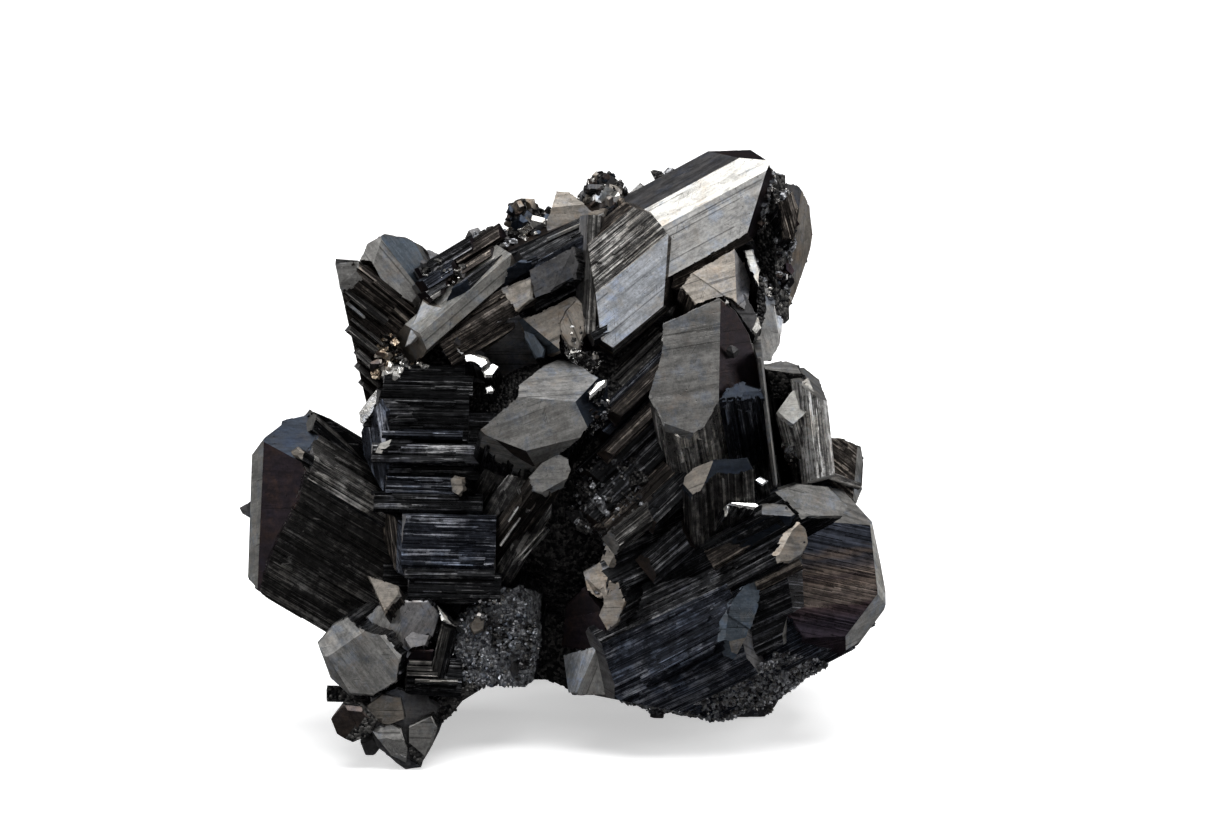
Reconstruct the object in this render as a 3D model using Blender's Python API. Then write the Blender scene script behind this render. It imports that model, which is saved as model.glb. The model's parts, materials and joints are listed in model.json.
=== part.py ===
"""Chalcocite: one cluster of intergrown crystals, standing on the broken faces of its base.

The cluster is drawn on an upright board, in millimetres: across from the board's left edge, down
from its top, and near, out of the board towards a viewer. The board leans back by BOARD_LEAN when
the specimen stands on a level surface. Two kinds of growth make the cluster:

- a stub is seen end-on: the outline of its end face is drawn, and its sides run back into the cluster;
- a blade is seen from the side: it has a centre line, a cross-section and a cut face at each end.

Chalcocite is striated along its prisms, so the long sides of both carry ledges that run their length.
"""

import random
from math import cos, hypot, pi, radians, sin

import bmesh
import bpy
from mathutils import Euler, Matrix, Vector

MM = 0.001
BOARD_LEAN = radians(14.0)
BOARD_MIDDLE = 56.2  # across, above the model's origin
BOARD_FOOT = 75.9  # down, where the front foot is cut off level
FOOT_NEAR = 10.0  # near, at that foot
SET_BACK = 10.9  # from the board's plane at the floor back to the origin

LEDGE_PITCH = 2.1
LEDGE_DEPTH = 0.28

BACK_MIDDLE = (59.0, 46.0)  # across and down, what the back's short crystals fan out from

LEAN = Matrix.Rotation(-BOARD_LEAN, 3, "X")


def heading(across, down, near):
    """A direction on the board, as a unit vector of the model."""
    return (LEAN @ Vector((across, -near, -down))).normalized()


def place(across, down, near):
    """A point on the board, as a point of the model in metres, with the floor at height 0."""
    foot = LEAN @ Vector((0.0, -FOOT_NEAR, 0.0))
    point = LEAN @ Vector((across - BOARD_MIDDLE, -near, BOARD_FOOT - down))
    return MM * (point - Vector((0.0, SET_BACK, foot.z)))


def hide(growth):
    """Mark a growth as a guide: only the joined cluster is seen."""
    growth.hide_render = True
    growth.display_type = "WIRE"


def ledged(section, axis, rng, pitch, depth):
    """The section with each long edge broken into shallow ledges, of random widths and depths."""
    middle = sum(section, Vector()) / len(section)
    points = []
    for start, end in zip(section, section[1:] + section[:1]):
        points.append(start)
        run = end - start
        count = int(run.length // (pitch * MM))
        if count < 2:
            continue
        inward = axis.cross(run).normalized()
        if inward.dot(middle - start) < 0:
            inward.negate()
        widths = [rng.uniform(0.5, 1.5) for _ in range(count)]
        total = sum(widths)
        reached = 0.0
        for number, width in enumerate(widths[:-1]):
            reached += width / total
            back = rng.uniform(0.6, 1.0) if number % 2 == 0 else rng.uniform(0.0, 0.3)
            points.append(start + run * reached + inward * back * depth * MM)
    return points


def prism(name, section, axis, low, high, cuts):
    """A closed prism on the section, from low to high along the axis, trimmed by each (point, outward)."""
    form = bmesh.new()
    outline = form.faces.new([form.verts.new(point + axis * low) for point in section])
    grown = bmesh.ops.extrude_face_region(form, geom=[outline], use_keep_orig=True)
    tops = [item for item in grown["geom"] if isinstance(item, bmesh.types.BMVert)]
    bmesh.ops.translate(form, verts=tops, vec=axis * (high - low))
    for point, outward in cuts:
        whole = form.verts[:] + form.edges[:] + form.faces[:]
        cut = bmesh.ops.bisect_plane(
            form, geom=whole, dist=1e-7, plane_co=point, plane_no=outward, clear_outer=True
        )
        rim = [item for item in cut["geom_cut"] if isinstance(item, bmesh.types.BMEdge)]
        bmesh.ops.holes_fill(form, edges=rim, sides=0)
    bmesh.ops.recalc_face_normals(form, faces=form.faces[:])
    mesh = bpy.data.meshes.new(name)
    form.to_mesh(mesh)
    form.free()
    grown = bpy.data.objects.new(name, mesh)
    growths.objects.link(grown)
    hide(grown)
    return grown


def stub(name, outline, near, lean, axis, length, folds=(), trims=(), pitch=LEDGE_PITCH, facing=1):
    """A crystal seen end-on. outline is its end face as drawn, near is the depth of the outline's
    middle, lean is how fast the face comes nearer per mm across and per mm down, and each fold
    (p, q, steepness) bends the face back beyond the line from p to q. The sides run along axis, and
    each trim (point, outward) breaks them off. facing is 1 for the front of the cluster and -1 for
    its back, where near counts backwards."""
    rng = random.Random(name)
    middle = [sum(values) / len(outline) for values in zip(*outline)]

    faces = [(lean[0], lean[1], near - lean[0] * middle[0] - lean[1] * middle[1])]
    for (p_across, p_down), (q_across, q_down), steepness in folds:
        run = hypot(q_across - p_across, q_down - p_down)
        out = [(q_down - p_down) / run, (p_across - q_across) / run]
        if out[0] * (middle[0] - p_across) + out[1] * (middle[1] - p_down) > 0:
            out = [-out[0], -out[1]]
        slope = [lean[0] - steepness * out[0], lean[1] - steepness * out[1]]
        at_fold = faces[0][2] + lean[0] * p_across + lean[1] * p_down
        faces.append((*slope, at_fold - slope[0] * p_across - slope[1] * p_down))

    corners = [
        place(across, down, facing * min(a * across + d * down + c for a, d, c in faces))
        for across, down in outline
    ]
    along = heading(axis[0], axis[1], facing * axis[2])
    section = [corner - along * corner.dot(along) for corner in corners]
    reach = [corner.dot(along) for corner in corners]
    cuts = [(place(0, 0, facing * c), heading(-a, -d, facing)) for a, d, c in faces]
    cuts += [(place(*point), heading(*outward)) for point, outward in trims]
    section = ledged(section, along, rng, pitch, LEDGE_DEPTH)
    return prism(name, section, along, min(reach) - 6 * MM, max(reach) + length * MM, cuts)


def blade(name, start, end, section, ends=(), trims=(), pitch=LEDGE_PITCH):
    """A crystal seen from the side. start and end are its centre line, section is drawn as (up, near)
    about that line, and each cut in ends and trims is (point, outward) on the board."""
    rng = random.Random(name)
    first, last = place(*start), place(*end)
    along = (last - first).normalized()
    side = along.cross(heading(0, 0, 1))
    if side.dot(heading(0, -1, 0)) < 0:
        side.negate()
    side.normalize()
    near = along.cross(side)
    if near.dot(heading(0, 0, 1)) < 0:
        near.negate()
    points = [first + (side * up + near * out) * MM for up, out in section]
    origin = first.dot(along)
    points = [point - along * origin for point in points]
    cuts = [(place(*point), heading(*outward)) for point, outward in (*ends, *trims)]
    points = ledged(points, along, rng, pitch, LEDGE_DEPTH)
    return prism(name, points, along, origin, origin + (last - first).length, cuts)


def lower_right():
    """The broadest crystals: bundles that run up to the right and end in six-sided faces."""
    run = (-0.86, 0.46, -0.30)
    broken_under = [((65.0, 70.6, 0.0), (-0.19, 0.98, 0.03)), ((79.0, 68.6, 0.0), (0.51, 0.86, -0.05)),
                    ((61.5, 69.0, 0.0), (-0.85, 0.30, 0.20))]
    stub("broad_end", [(77.5, 48.6), (79.5, 48.0), (84.0, 48.7), (86.2, 51.0), (87.8, 55.2), (88.5, 59.0),
                       (88.3, 61.2), (86.0, 64.2), (84.2, 65.6), (80.0, 63.8), (78.3, 60.7), (79.7, 56.2),
                       (79.0, 51.2)],
         near=8.5, lean=(-0.62, 0.05), axis=run, length=26, trims=broken_under,
         folds=[((80.5, 52.0), (86.4, 51.5), 1.6), ((87.3, 55.6), (88.0, 58.3), 2.2),
                ((88.0, 58.3), (83.8, 64.2), 1.0)])
    blade("striped_front", (76.2, 60.0, 11.0), (59.0, 68.4, 8.0),
          [(4.6, 0.8), (3.0, 2.4), (-0.8, 3.2), (-4.0, 2.4), (-6.0, 0.0), (-5.0, -8), (3.0, -8)],
          ends=[((75.6, 60.5, 12.5), (0.90, -0.12, 0.40)), ((61.0, 66.5, 11.5), (-0.80, 0.18, 0.45))],
          trims=broken_under[:2])
    blade("dark_upper", (80.4, 53.2, 10.6), (60.0, 62.6, 7.6),
          [(3.6, -1.5), (2.2, 1.6), (-1.8, 2.8), (-6.5, 2.2), (-6.5, -8), (3.0, -8)],
          ends=[((79.8, 54.5, 12.5), (0.84, -0.05, 0.55)), ((62.2, 60.5, 10.0), (-0.8, 0.1, 0.55))])
    blade("keel_bundle", (81.0, 65.4, 3.6), (65.5, 70.6, 1.0),
          [(3.2, 1.2), (0.2, 2.4), (-2.4, 1.2), (-3.4, -2.0), (-1.0, -9), (3.0, -9)],
          ends=[((80.4, 66.4, 4.0), (0.8, 0.5, 0.2))], trims=broken_under[:2])
    stub("keel", [(70.6, 68.0), (76.0, 66.5), (78.9, 68.6), (77.6, 70.9), (76.2, 72.3), (71.9, 72.8), (70.4, 71.2)],
         near=-5.5, lean=(0.0, -0.3), axis=(-0.15, -0.25, -0.95), length=9)
    stub("blue_knob", [(76.0, 50.3), (78.2, 50.0), (79.4, 51.2), (78.0, 53.0), (76.2, 52.4)],
         near=14.4, lean=(0.1, -0.35), axis=run, length=12, folds=[((76.0, 50.9), (79.2, 51.5), 1.8)])
    stub("brown_step", [(79.0, 52.0), (80.3, 52.0), (80.7, 54.5), (79.6, 55.3), (77.2, 55.8), (77.8, 54.0)],
         near=14.2, lean=(-0.35, 0.15), axis=run, length=12)
    stub("left_end", [(58.3, 57.5), (59.8, 56.2), (62.2, 59.0), (62.0, 60.8), (60.5, 62.2), (59.8, 60.0),
                      (58.6, 58.8)],
         near=11.0, lean=(0.5, 0.2), axis=(0.85, -0.4, -0.35), length=14)
    stub("left_blue_face", [(58.2, 58.6), (60.0, 60.2), (60.7, 63.0), (59.6, 64.9), (56.2, 64.6), (56.6, 60.2)],
         near=8.6, lean=(0.9, -0.1), axis=(0.7, -0.2, -0.7), length=14)
    stub("left_foot", [(56.2, 65.4), (59.4, 64.4), (60.9, 64.2), (61.9, 66.0), (60.6, 69.2), (58.0, 69.3),
                       (56.7, 69.0)],
         near=9.0, lean=(0.35, -0.1), axis=(0.75, -0.1, -0.65), length=14,
         folds=[((59.6, 64.6), (58.0, 69.3), 0.8)])


def centre_right():
    """The upright crystal with a broad grey end, and the smaller ones at its foot and right."""
    down = (0.13, 0.70, -0.70)
    stub("grey_tower", [(66.2, 32.6), (71.8, 30.0), (73.5, 31.0), (74.6, 32.6), (75.7, 37.0), (76.4, 39.0),
                        (71.6, 40.2), (70.1, 42.5), (68.6, 43.7), (66.2, 42.8), (64.8, 39.9), (65.9, 36.0)],
         near=15.0, lean=(0.12, 0.22), axis=down, length=20,
         folds=[((71.9, 30.0), (71.6, 40.2), 1.5)])
    stub("tower_foot", [(68.2, 48.0), (69.0, 46.7), (71.2, 46.0), (74.5, 45.8), (75.2, 47.2), (73.4, 48.4),
                        (70.5, 48.2), (69.0, 49.4), (68.4, 48.9)],
         near=16.0, lean=(0.3, 0.25), axis=down, length=14, folds=[((71.4, 46.0), (70.2, 48.4), 1.2)])
    blade("edge_plate", (75.9, 35.6, 9.5), (77.4, 48.2, 5.0), [(0.55, 1.2), (0.2, 2.4), (-0.5, 1.4), (-0.4, -6),
                                                             (0.5, -6)])
    stub("dark_notch", [(76.0, 36.5), (78.6, 36.0), (80.1, 36.6), (80.2, 37.4), (78.4, 39.9), (77.3, 39.7)],
         near=7.0, lean=(0.2, -0.5), axis=(0.1, 0.6, -0.8), length=12, folds=[((76.0, 36.7), (80.1, 37.3), 2.0)])
    stub("pale_shoulder", [(77.3, 41.2), (80.0, 37.7), (80.8, 37.0), (81.4, 39.0), (81.0, 41.5), (79.4, 42.4),
                           (78.0, 42.2)],
         near=8.6, lean=(0.1, 0.35), axis=(0.22, 0.8, -0.5), length=12)
    blade("pale_post", (81.0, 38.2, 6.0), (82.6, 48.8, 2.5),
          [(1.0, 0.2), (0.3, 1.8), (-1.0, 1.0), (-1.5, -1.5), (-0.5, -7), (0.8, -7)],
          ends=[((81.4, 39.4, 6.0), (0.62, -0.75, 0.2))])
    stub("far_right_knob", [(82.4, 43.7), (84.2, 43.8), (86.2, 44.6), (86.5, 46.4), (86.4, 48.6), (85.6, 50.4),
                            (84.2, 49.5), (82.4, 48.0)],
         near=1.5, lean=(-0.35, 0.0), axis=(-0.5, 0.1, -0.85), length=14,
         folds=[((85.9, 44.8), (85.6, 49.4), 1.6)])
    diagonal = (0.72, -0.69)
    for name, foot, near, half, size in (
        ("slant_a", (60.3, 44.2), 7.6, 2.6, 12.0), ("slant_b", (59.0, 48.4), 9.0, 2.2, 13.0),
        ("slant_c", (58.2, 52.0), 10.0, 1.8, 12.5), ("slant_d", (60.4, 53.6), 11.0, 1.5, 9.5),
        ("slant_e", (64.2, 52.2), 11.6, 1.5, 7.5), ("slant_f", (59.4, 40.8), 5.6, 1.8, 10.0),
    ):
        end = (foot[0] + diagonal[0] * size, foot[1] + diagonal[1] * size, near - 0.5)
        blade(name, (*foot, near), end,
              [(half, 0), (half * 0.5, 1.0), (-half * 0.6, 1.3), (-half, 0.2), (-half * 0.6, -7), (half * 0.6, -7)],
              ends=[((foot[0] + 0.6, foot[1] - 0.6, near + 1), (-0.5, 0.5, 0.7))])


def top_right():
    """The long plate with the bright bevel, its lower neighbour, and the crystals behind."""
    blade("long_plate", (62.0, 25.4, 4.0), (77.0, 17.3, 3.0),
          [(4.9, -5.0), (2.7, 1.2), (0.3, 3.4), (-4.4, 3.9), (-5.0, 1.0), (-3.0, -8), (2.0, -10)],
          ends=[((77.2, 17.0, 5.0), (0.90, 0.25, 0.25)), ((73.5, 15.3, 1.0), (0.04, -1.0, 0.12))])
    stub("notch_floor", [(53.0, 58.0), (58.5, 57.0), (61.0, 62.0), (60.0, 69.4), (57.0, 69.2), (54.0, 67.9),
                         (52.5, 66.0)],
         near=-3.0, lean=(0.0, -0.2), axis=(0.0, -0.2, -0.98), length=14)
    blade("striped_plate", (58.6, 31.5, 5.8), (67.4, 24.2, 6.2),
          [(5.4, -1.0), (4.3, 1.2), (-0.4, 2.9), (-4.4, 2.6), (-5.0, 0.2), (-3.0, -8), (4.0, -8)],
          ends=[((66.6, 23.6, 8.5), (0.93, 0.05, 0.25)), ((65.4, 21.6, 7.0), (0.72, -0.66, 0.1))])
    stub("pale_facet", [(68.0, 28.9), (69.0, 27.5), (73.5, 25.0), (75.0, 25.5), (75.8, 27.6), (75.6, 29.5),
                        (75.2, 32.0), (74.0, 31.2), (73.0, 30.0), (71.9, 29.8), (69.0, 30.3)],
         near=11.0, lean=(-0.05, 0.3), axis=(-0.1, 0.35, -0.93), length=14,
         folds=[((73.6, 25.0), (74.0, 29.8), 1.3)])
    stub("right_wing", [(78.0, 18.0), (80.0, 18.2), (81.1, 20.5), (81.5, 23.5), (81.1, 25.5), (79.8, 29.2),
                        (78.4, 32.2), (77.5, 30.0), (77.0, 24.0)],
         near=0.5, lean=(-0.5, 0.0), axis=(-0.55, 0.25, -0.8), length=16,
         folds=[((80.4, 20.5), (78.8, 31.0), 1.6)])
    stub("right_tail", [(76.4, 28.0), (77.2, 30.2), (78.3, 32.0), (78.0, 34.4), (77.1, 36.2), (75.7, 36.3),
                        (75.0, 33.5), (75.6, 31.0)],
         near=4.0, lean=(-0.2, 0.1), axis=(-0.3, -0.2, -0.9), length=14,
         folds=[((76.8, 28.0), (78.0, 34.6), 1.2)])
    blade("plate_crust", (77.2, 17.6, 0.0), (77.6, 32.0, 1.0),
          [(1.3, 0.5), (0.2, 2.0), (-1.2, 1.0), (-1.4, -8), (1.2, -8)], pitch=0.9)


def middle_left():
    """Long crystals that run up to the right above the middle, with dark ones beneath."""
    blade("long_beam", (40.2, 35.2, 8.5), (52.6, 25.9, 5.0),
          [(2.3, -1.8), (0.7, 1.5), (-1.7, 1.2), (-2.2, -0.6), (-1.0, -6), (1.5, -6)],
          ends=[((41.0, 33.8, 9.0), (-0.92, -0.12, 0.35)), ((50.2, 27.2, 8.0), (0.80, 0.05, 0.5))])
    blade("brown_flank", (44.6, 35.2, 6.2), (53.4, 29.9, 6.6),
          [(2.4, 0.4), (0.8, 1.6), (-1.6, 1.4), (-2.2, -0.4), (-1.0, -6), (1.5, -6)],
          ends=[((51.9, 31.5, 8.0), (0.84, 0.35, 0.4))])
    blade("blue_flank", (50.2, 29.4, 6.4), (60.4, 24.6, 4.6),
          [(3.4, -1.4), (1.6, 1.0), (-1.4, 1.6), (-2.6, 0.4), (-1.6, -7), (2.4, -7)],
          ends=[((51.2, 28.9, 7.5), (-0.72, 0.40, 0.55))])
    blade("upper_beam", (49.2, 26.4, 3.0), (61.0, 20.6, 1.4),
          [(1.6, -1.2), (0.4, 1.0), (-2.4, 1.2), (-2.8, -5), (1.4, -6)])
    stub("dark_ceiling", [(44.2, 35.2), (46.0, 33.4), (52.0, 31.6), (55.2, 35.2), (53.2, 37.4), (50.4, 38.6),
                          (46.8, 38.2)],
         near=5.6, lean=(0.0, -0.7), axis=(0.35, -0.25, -0.9), length=12)
    stub("three_sided", [(51.7, 32.2), (52.6, 31.9), (56.0, 30.5), (58.2, 29.9), (58.7, 33.0), (58.0, 35.3),
                         (55.6, 35.6), (53.9, 35.9)],
         near=8.6, lean=(-0.05, 0.35), axis=(0.2, 0.3, -0.93), length=12,
         folds=[((52.2, 32.0), (55.5, 35.5), 1.6)])
    blade("dividing_edge", (58.8, 22.8, 4.0), (58.7, 34.8, 7.5), [(1.1, 0.2), (0.4, 1.4), (-0.8, 1.2), (-1.2, -7),
                                                                (1.0, -7)])
    stub("top_spire", [(54.7, 24.0), (55.5, 19.6), (56.2, 19.2), (58.0, 20.1), (60.2, 21.6), (59.6, 23.4)],
         near=0.5, lean=(0.1, 0.5), axis=(0.1, 0.5, -0.9), length=10)
    stub("far_slab", [(62.1, 19.9), (64.0, 18.1), (64.7, 18.5), (64.2, 19.6), (62.6, 20.4)],
         near=-1.5, lean=(0.1, 0.4), axis=(0.1, 0.6, -0.8), length=8)


def left_side():
    """The tabular crystal that stands out to the left, with its bevelled rim and striated flank."""
    run = (0.80, 0.49, -0.38)
    stub("left_tablet", [(24.9, 57.8), (25.0, 54.5), (25.3, 45.2), (26.3, 44.0), (29.0, 41.9), (31.6, 41.3),
                         (32.2, 43.5), (31.0, 47.0), (30.2, 50.2), (28.2, 53.6), (26.9, 57.0), (26.4, 59.2)],
         near=9.0, lean=(0.55, 0.0), axis=run, length=17,
         folds=[((26.6, 44.2), (25.9, 57.8), 2.6), ((26.6, 44.3), (30.0, 45.8), 1.1)])
    stub("left_recess", [(30.2, 42.6), (31.8, 41.3), (33.5, 42.0), (36.2, 44.3), (37.6, 47.0), (34.0, 47.0),
                         (31.4, 45.6)],
         near=5.5, lean=(0.2, -0.4), axis=run, length=13)
    blade("left_rod", (30.6, 46.4, 9.4), (39.4, 51.8, 5.8),
          [(1.7, 0.0), (0.9, 1.2), (-0.9, 1.4), (-1.8, 0.2), (-1.0, -6), (1.0, -6)],
          ends=[((31.2, 46.8, 10.0), (-0.7, -0.3, 0.6))], pitch=0.9)
    stub("left_nub", [(23.9, 50.7), (25.3, 49.9), (25.4, 52.0), (24.3, 51.4)],
         near=3.5, lean=(0.4, 0.0), axis=(0.95, 0.0, -0.3), length=5)


def top_left():
    """Stepped crystals at the upper left, under one with a roof-like end."""
    run = (0.74, 0.58, -0.34)
    stub("roofed", [(36.2, 26.0), (37.0, 24.3), (38.5, 23.3), (40.5, 23.7), (42.6, 25.5), (43.4, 27.5),
                    (42.2, 30.2), (40.4, 29.8), (38.6, 27.6), (37.6, 26.2)],
         near=3.5, lean=(-0.15, 0.25), axis=run, length=12,
         folds=[((38.3, 24.2), (42.2, 30.0), 0.9), ((38.7, 23.4), (37.0, 26.2), 1.2)])
    steps = (
        ("step_a", [(33.6, 26.5), (34.5, 26.1), (36.1, 26.1), (37.5, 26.3), (38.6, 28.8), (35.9, 28.4),
                    (34.6, 29.0), (34.0, 28.4)], 4.5),
        ("step_b", [(34.0, 29.0), (35.0, 28.8), (37.4, 30.4), (36.8, 31.6), (35.0, 32.4), (34.5, 31.0)], 5.0),
        ("step_c", [(34.5, 31.8), (36.0, 31.4), (37.6, 33.2), (36.8, 34.8), (35.4, 35.2), (34.9, 33.8)], 4.6),
        ("step_d", [(35.1, 34.8), (36.4, 34.6), (37.8, 36.2), (37.2, 37.8), (35.8, 37.6), (35.4, 36.4)], 4.2),
        ("step_e", [(35.6, 37.4), (36.8, 37.2), (38.0, 38.6), (37.2, 39.9), (36.2, 39.0)], 3.6),
    )
    for name, outline, near in steps:
        stub(name, outline, near=near, lean=(0.7, 0.3), axis=run, length=11, pitch=0.9)
    stub("behind_roof", [(42.3, 26.0), (43.0, 24.8), (43.8, 25.4), (44.2, 27.0), (43.0, 27.8)],
         near=0.0, lean=(0.0, 0.4), axis=run, length=8)


def stack():
    """The dark stack of level bars left of the middle, and the slanted one on its right."""
    for name, left, right, down, half, near in (
        ("bar_top", 38.2, 50.5, 39.2, 1.6, 7.4), ("bar_upper", 37.0, 50.0, 42.0, 1.9, 7.8),
        ("bar_rod", 37.4, 48.8, 45.2, 0.95, 10.2), ("bar_mid", 38.4, 49.5, 48.8, 2.4, 8.2),
        ("bar_low", 39.6, 50.0, 54.6, 3.2, 9.4), ("bar_base", 41.2, 50.4, 58.2, 1.9, 8.6),
    ):
        blade(name, (left, down - 0.1, near), (right, down + 0.1, near),
              [(half, -0.6), (half * 0.7, 1.2), (-half * 0.5, 1.7), (-half, 0.6), (-half * 0.8, -8),
               (half * 0.8, -8)],
              ends=[((left + 0.6, down, near + 1.5), (-0.75, -0.15, 0.62)),
                    ((right - 0.3, down, near + 1.5), (0.8, 0.1, 0.6))], pitch=1.1)
    stub("stack_end", [(36.4, 43.0), (38.1, 40.2), (39.4, 41.0), (39.2, 46.0), (38.8, 49.6), (37.6, 47.0),
                       (36.6, 46.0)],
         near=7.6, lean=(0.9, 0.0), axis=(0.9, 0.0, -0.4), length=8)
    stub("white_flake", [(36.0, 41.6), (38.1, 38.7), (38.2, 40.2), (36.5, 43.2)],
         near=6.0, lean=(0.6, 0.5), axis=(0.8, 0.1, -0.6), length=4)
    stub("stack_corner", [(38.4, 50.4), (39.8, 51.6), (41.6, 55.0), (41.8, 58.0), (39.6, 57.0), (38.0, 53.0)],
         near=8.8, lean=(0.7, -0.1), axis=(0.8, 0.1, -0.6), length=9)
    stub("slant_end", [(48.2, 46.4), (50.4, 45.4), (53.4, 47.2), (54.6, 49.6), (52.6, 51.4), (49.6, 50.4)],
         near=9.0, lean=(0.1, -0.2), axis=(-0.38, 0.66, -0.65), length=14, pitch=0.8)
    stub("slant_side", [(52.6, 50.0), (54.6, 48.6), (56.6, 48.2), (55.0, 52.4), (52.2, 56.6), (50.0, 57.6)],
         near=7.8, lean=(-0.25, -0.15), axis=(-0.38, 0.66, -0.65), length=10, pitch=0.8)


def centre():
    """The bright crystal in the middle, whose end has three faces."""
    stub("bright_knob", [(48.2, 43.0), (50.0, 41.4), (52.0, 39.6), (52.0, 38.5), (54.5, 36.5), (56.0, 35.8),
                         (57.5, 36.2), (59.8, 37.8), (60.8, 38.0), (60.9, 41.0), (59.0, 42.1), (57.4, 43.6),
                         (54.0, 45.6), (51.0, 44.6), (49.0, 43.8)],
         near=14.6, lean=(-0.05, 0.18), axis=(-0.12, 0.40, -0.91), length=16,
         folds=[((52.0, 39.7), (57.6, 40.2), 1.5), ((57.6, 40.2), (58.6, 42.1), 0.95)])
    stub("small_knob", [(53.0, 48.0), (54.8, 45.8), (56.0, 45.2), (56.8, 46.0), (57.3, 47.1), (56.8, 48.2),
                        (54.8, 49.4)],
         near=13.2, lean=(0.0, 0.1), axis=(-0.45, 0.62, -0.65), length=13, pitch=0.8)


def lower_left():
    """Blocky crystals and broken matrix at the lower left, down to the tip that carries the cluster."""
    stub("grey_block", [(32.0, 64.0), (33.5, 62.2), (35.0, 61.7), (36.8, 62.5), (38.8, 63.2), (40.6, 65.5),
                        (40.2, 68.2), (36.5, 68.8), (34.8, 69.2), (32.9, 67.0)],
         near=13.4, lean=(0.1, 0.0), axis=(0.3, -0.2, -0.93), length=16,
         folds=[((33.4, 65.2), (37.0, 62.8), 1.2), ((33.4, 65.2), (36.0, 68.8), 0.9)])
    stub("pale_tooth", [(37.0, 57.3), (40.3, 58.8), (40.0, 60.1), (38.8, 61.1), (37.8, 59.2)],
         near=12.8, lean=(0.15, 0.35), axis=(0.2, 0.35, -0.9), length=8)
    stub("grey_saddle", [(37.4, 60.6), (40.0, 60.2), (43.0, 59.6), (44.4, 61.2), (43.4, 64.0), (41.0, 66.0),
                         (38.6, 64.6)],
         near=11.4, lean=(-0.1, 0.2), axis=(0.1, -0.1, -0.99), length=14)
    blade("splint", (44.0, 61.0, 11.6), (45.6, 68.4, 11.0), [(0.9, 0.2), (0.3, 1.3), (-0.7, 1.0), (-0.8, -7),
                                                          (0.8, -7)], pitch=0.6)
    blade("treads", (40.6, 66.6, 11.4), (46.2, 67.2, 10.6), [(2.4, -0.4), (1.8, 1.0), (-1.0, 1.6), (-1.8, 0.8),
                                                           (-1.4, -9), (2.0, -9)], pitch=0.7)
    stub("crusted_lobe", [(45.8, 62.5), (48.0, 60.0), (52.0, 58.4), (54.2, 59.4), (54.2, 64.0), (53.4, 68.0),
                          (50.0, 68.2), (47.2, 68.6), (45.6, 66.0)],
         near=7.4, lean=(-0.15, 0.0), axis=(0.05, -0.3, -0.95), length=14,
         folds=[((52.6, 59.0), (52.4, 67.8), 1.6)])
    stub("dark_hexagon", [(33.4, 71.4), (34.6, 70.1), (36.4, 70.3), (38.2, 72.0), (37.4, 73.3), (35.6, 73.9),
                          (34.0, 72.9)],
         near=13.2, lean=(0.2, -0.1), axis=(0.3, -0.4, -0.85), length=10)
    stub("dark_button", [(36.3, 73.8), (37.5, 73.2), (38.5, 74.2), (37.8, 75.1), (36.8, 75.1)],
         near=12.2, lean=(0.1, -0.1), axis=(0.2, -0.6, -0.75), length=6)
    stub("foot", [(37.4, 69.4), (40.0, 68.0), (42.6, 68.6), (44.2, 70.2), (43.6, 72.4), (43.0, 74.6),
                  (42.3, 76.4), (41.0, 76.6), (40.0, 75.9), (38.0, 74.2), (37.2, 72.0)],
         near=12.0, lean=(0.0, -0.15), axis=(0.02, -0.24, -0.97), length=18,
         folds=[((40.3, 69.0), (41.4, 76.2), 0.7)])
    stub("foot_crust", [(44.0, 68.8), (46.6, 68.0), (48.0, 68.8), (46.4, 69.8), (45.2, 71.3), (44.2, 72.0)],
         near=8.5, lean=(-0.2, -0.2), axis=(0.2, -0.5, -0.85), length=10)


def rubble(name, middle, spread, size, count):
    """A crust of small blocky crystals about middle, spread as far as (across, down, near)."""
    rng = random.Random(name)
    for number in range(count):
        form = bmesh.new()
        bmesh.ops.create_cube(form, size=1.0)
        shape = Matrix.Diagonal([size * MM * rng.uniform(0.7, 1.5) for _ in range(3)]).to_4x4()
        turn = Euler([rng.uniform(0, pi) for _ in range(3)]).to_matrix().to_4x4()
        spot = [at + reach * rng.uniform(-1, 1) for at, reach in zip(middle, spread)]
        bmesh.ops.transform(form, matrix=Matrix.Translation(place(*spot)) @ turn @ shape, verts=form.verts[:])
        mesh = bpy.data.meshes.new(f"{name}_{number}")
        form.to_mesh(mesh)
        form.free()
        grain = bpy.data.objects.new(mesh.name, mesh)
        growths.objects.link(grain)
        hide(grain)


def crusts():
    """Small late crystals on the top edge, in the corners and around the foot."""
    rubble("upper_crust", (45.6, 27.8, 1.6), (1.8, 1.5, 1.2), 2.3, 8)
    rubble("ridge_crust", (49.0, 24.6, 0.5), (1.2, 0.9, 1.2), 2.0, 6)
    rubble("crown_ball", (53.0, 22.4, 0.0), (0.9, 0.9, 1.2), 1.9, 6)
    rubble("crown_nest", (60.2, 19.4, -1.0), (1.2, 1.0, 1.2), 1.8, 8)
    rubble("wing_crust", (77.6, 24.0, 1.0), (0.8, 5.0, 1.0), 1.8, 8)
    rubble("edge_grains", (67.3, 17.6, -3.2), (1.8, 0.4, 0.6), 1.2, 3)
    rubble("sparkle", (57.2, 35.0, 7.4), (1.8, 1.6, 1.2), 1.2, 7)
    rubble("gold_crust", (38.6, 36.6, 3.0), (1.4, 1.8, 1.5), 1.5, 7)
    rubble("foot_grains", (37.2, 69.8, 9.6), (2.4, 1.0, 1.8), 2.0, 7)
    rubble("lobe_crust", (49.5, 64.5, 7.2), (3.6, 3.2, 0.5), 1.7, 9)
    rubble("elbow_crust", (61.0, 49.5, 10.6), (3.2, 3.6, 0.8), 1.4, 6)
    rubble("keel_crust", (69.5, 70.0, 1.0), (5.0, 0.8, 1.5), 1.6, 8)
    rubble("heel_grains", (53.5, 65.0, -22.0), (7.0, 2.0, 5.0), 2.6, 4)


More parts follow.
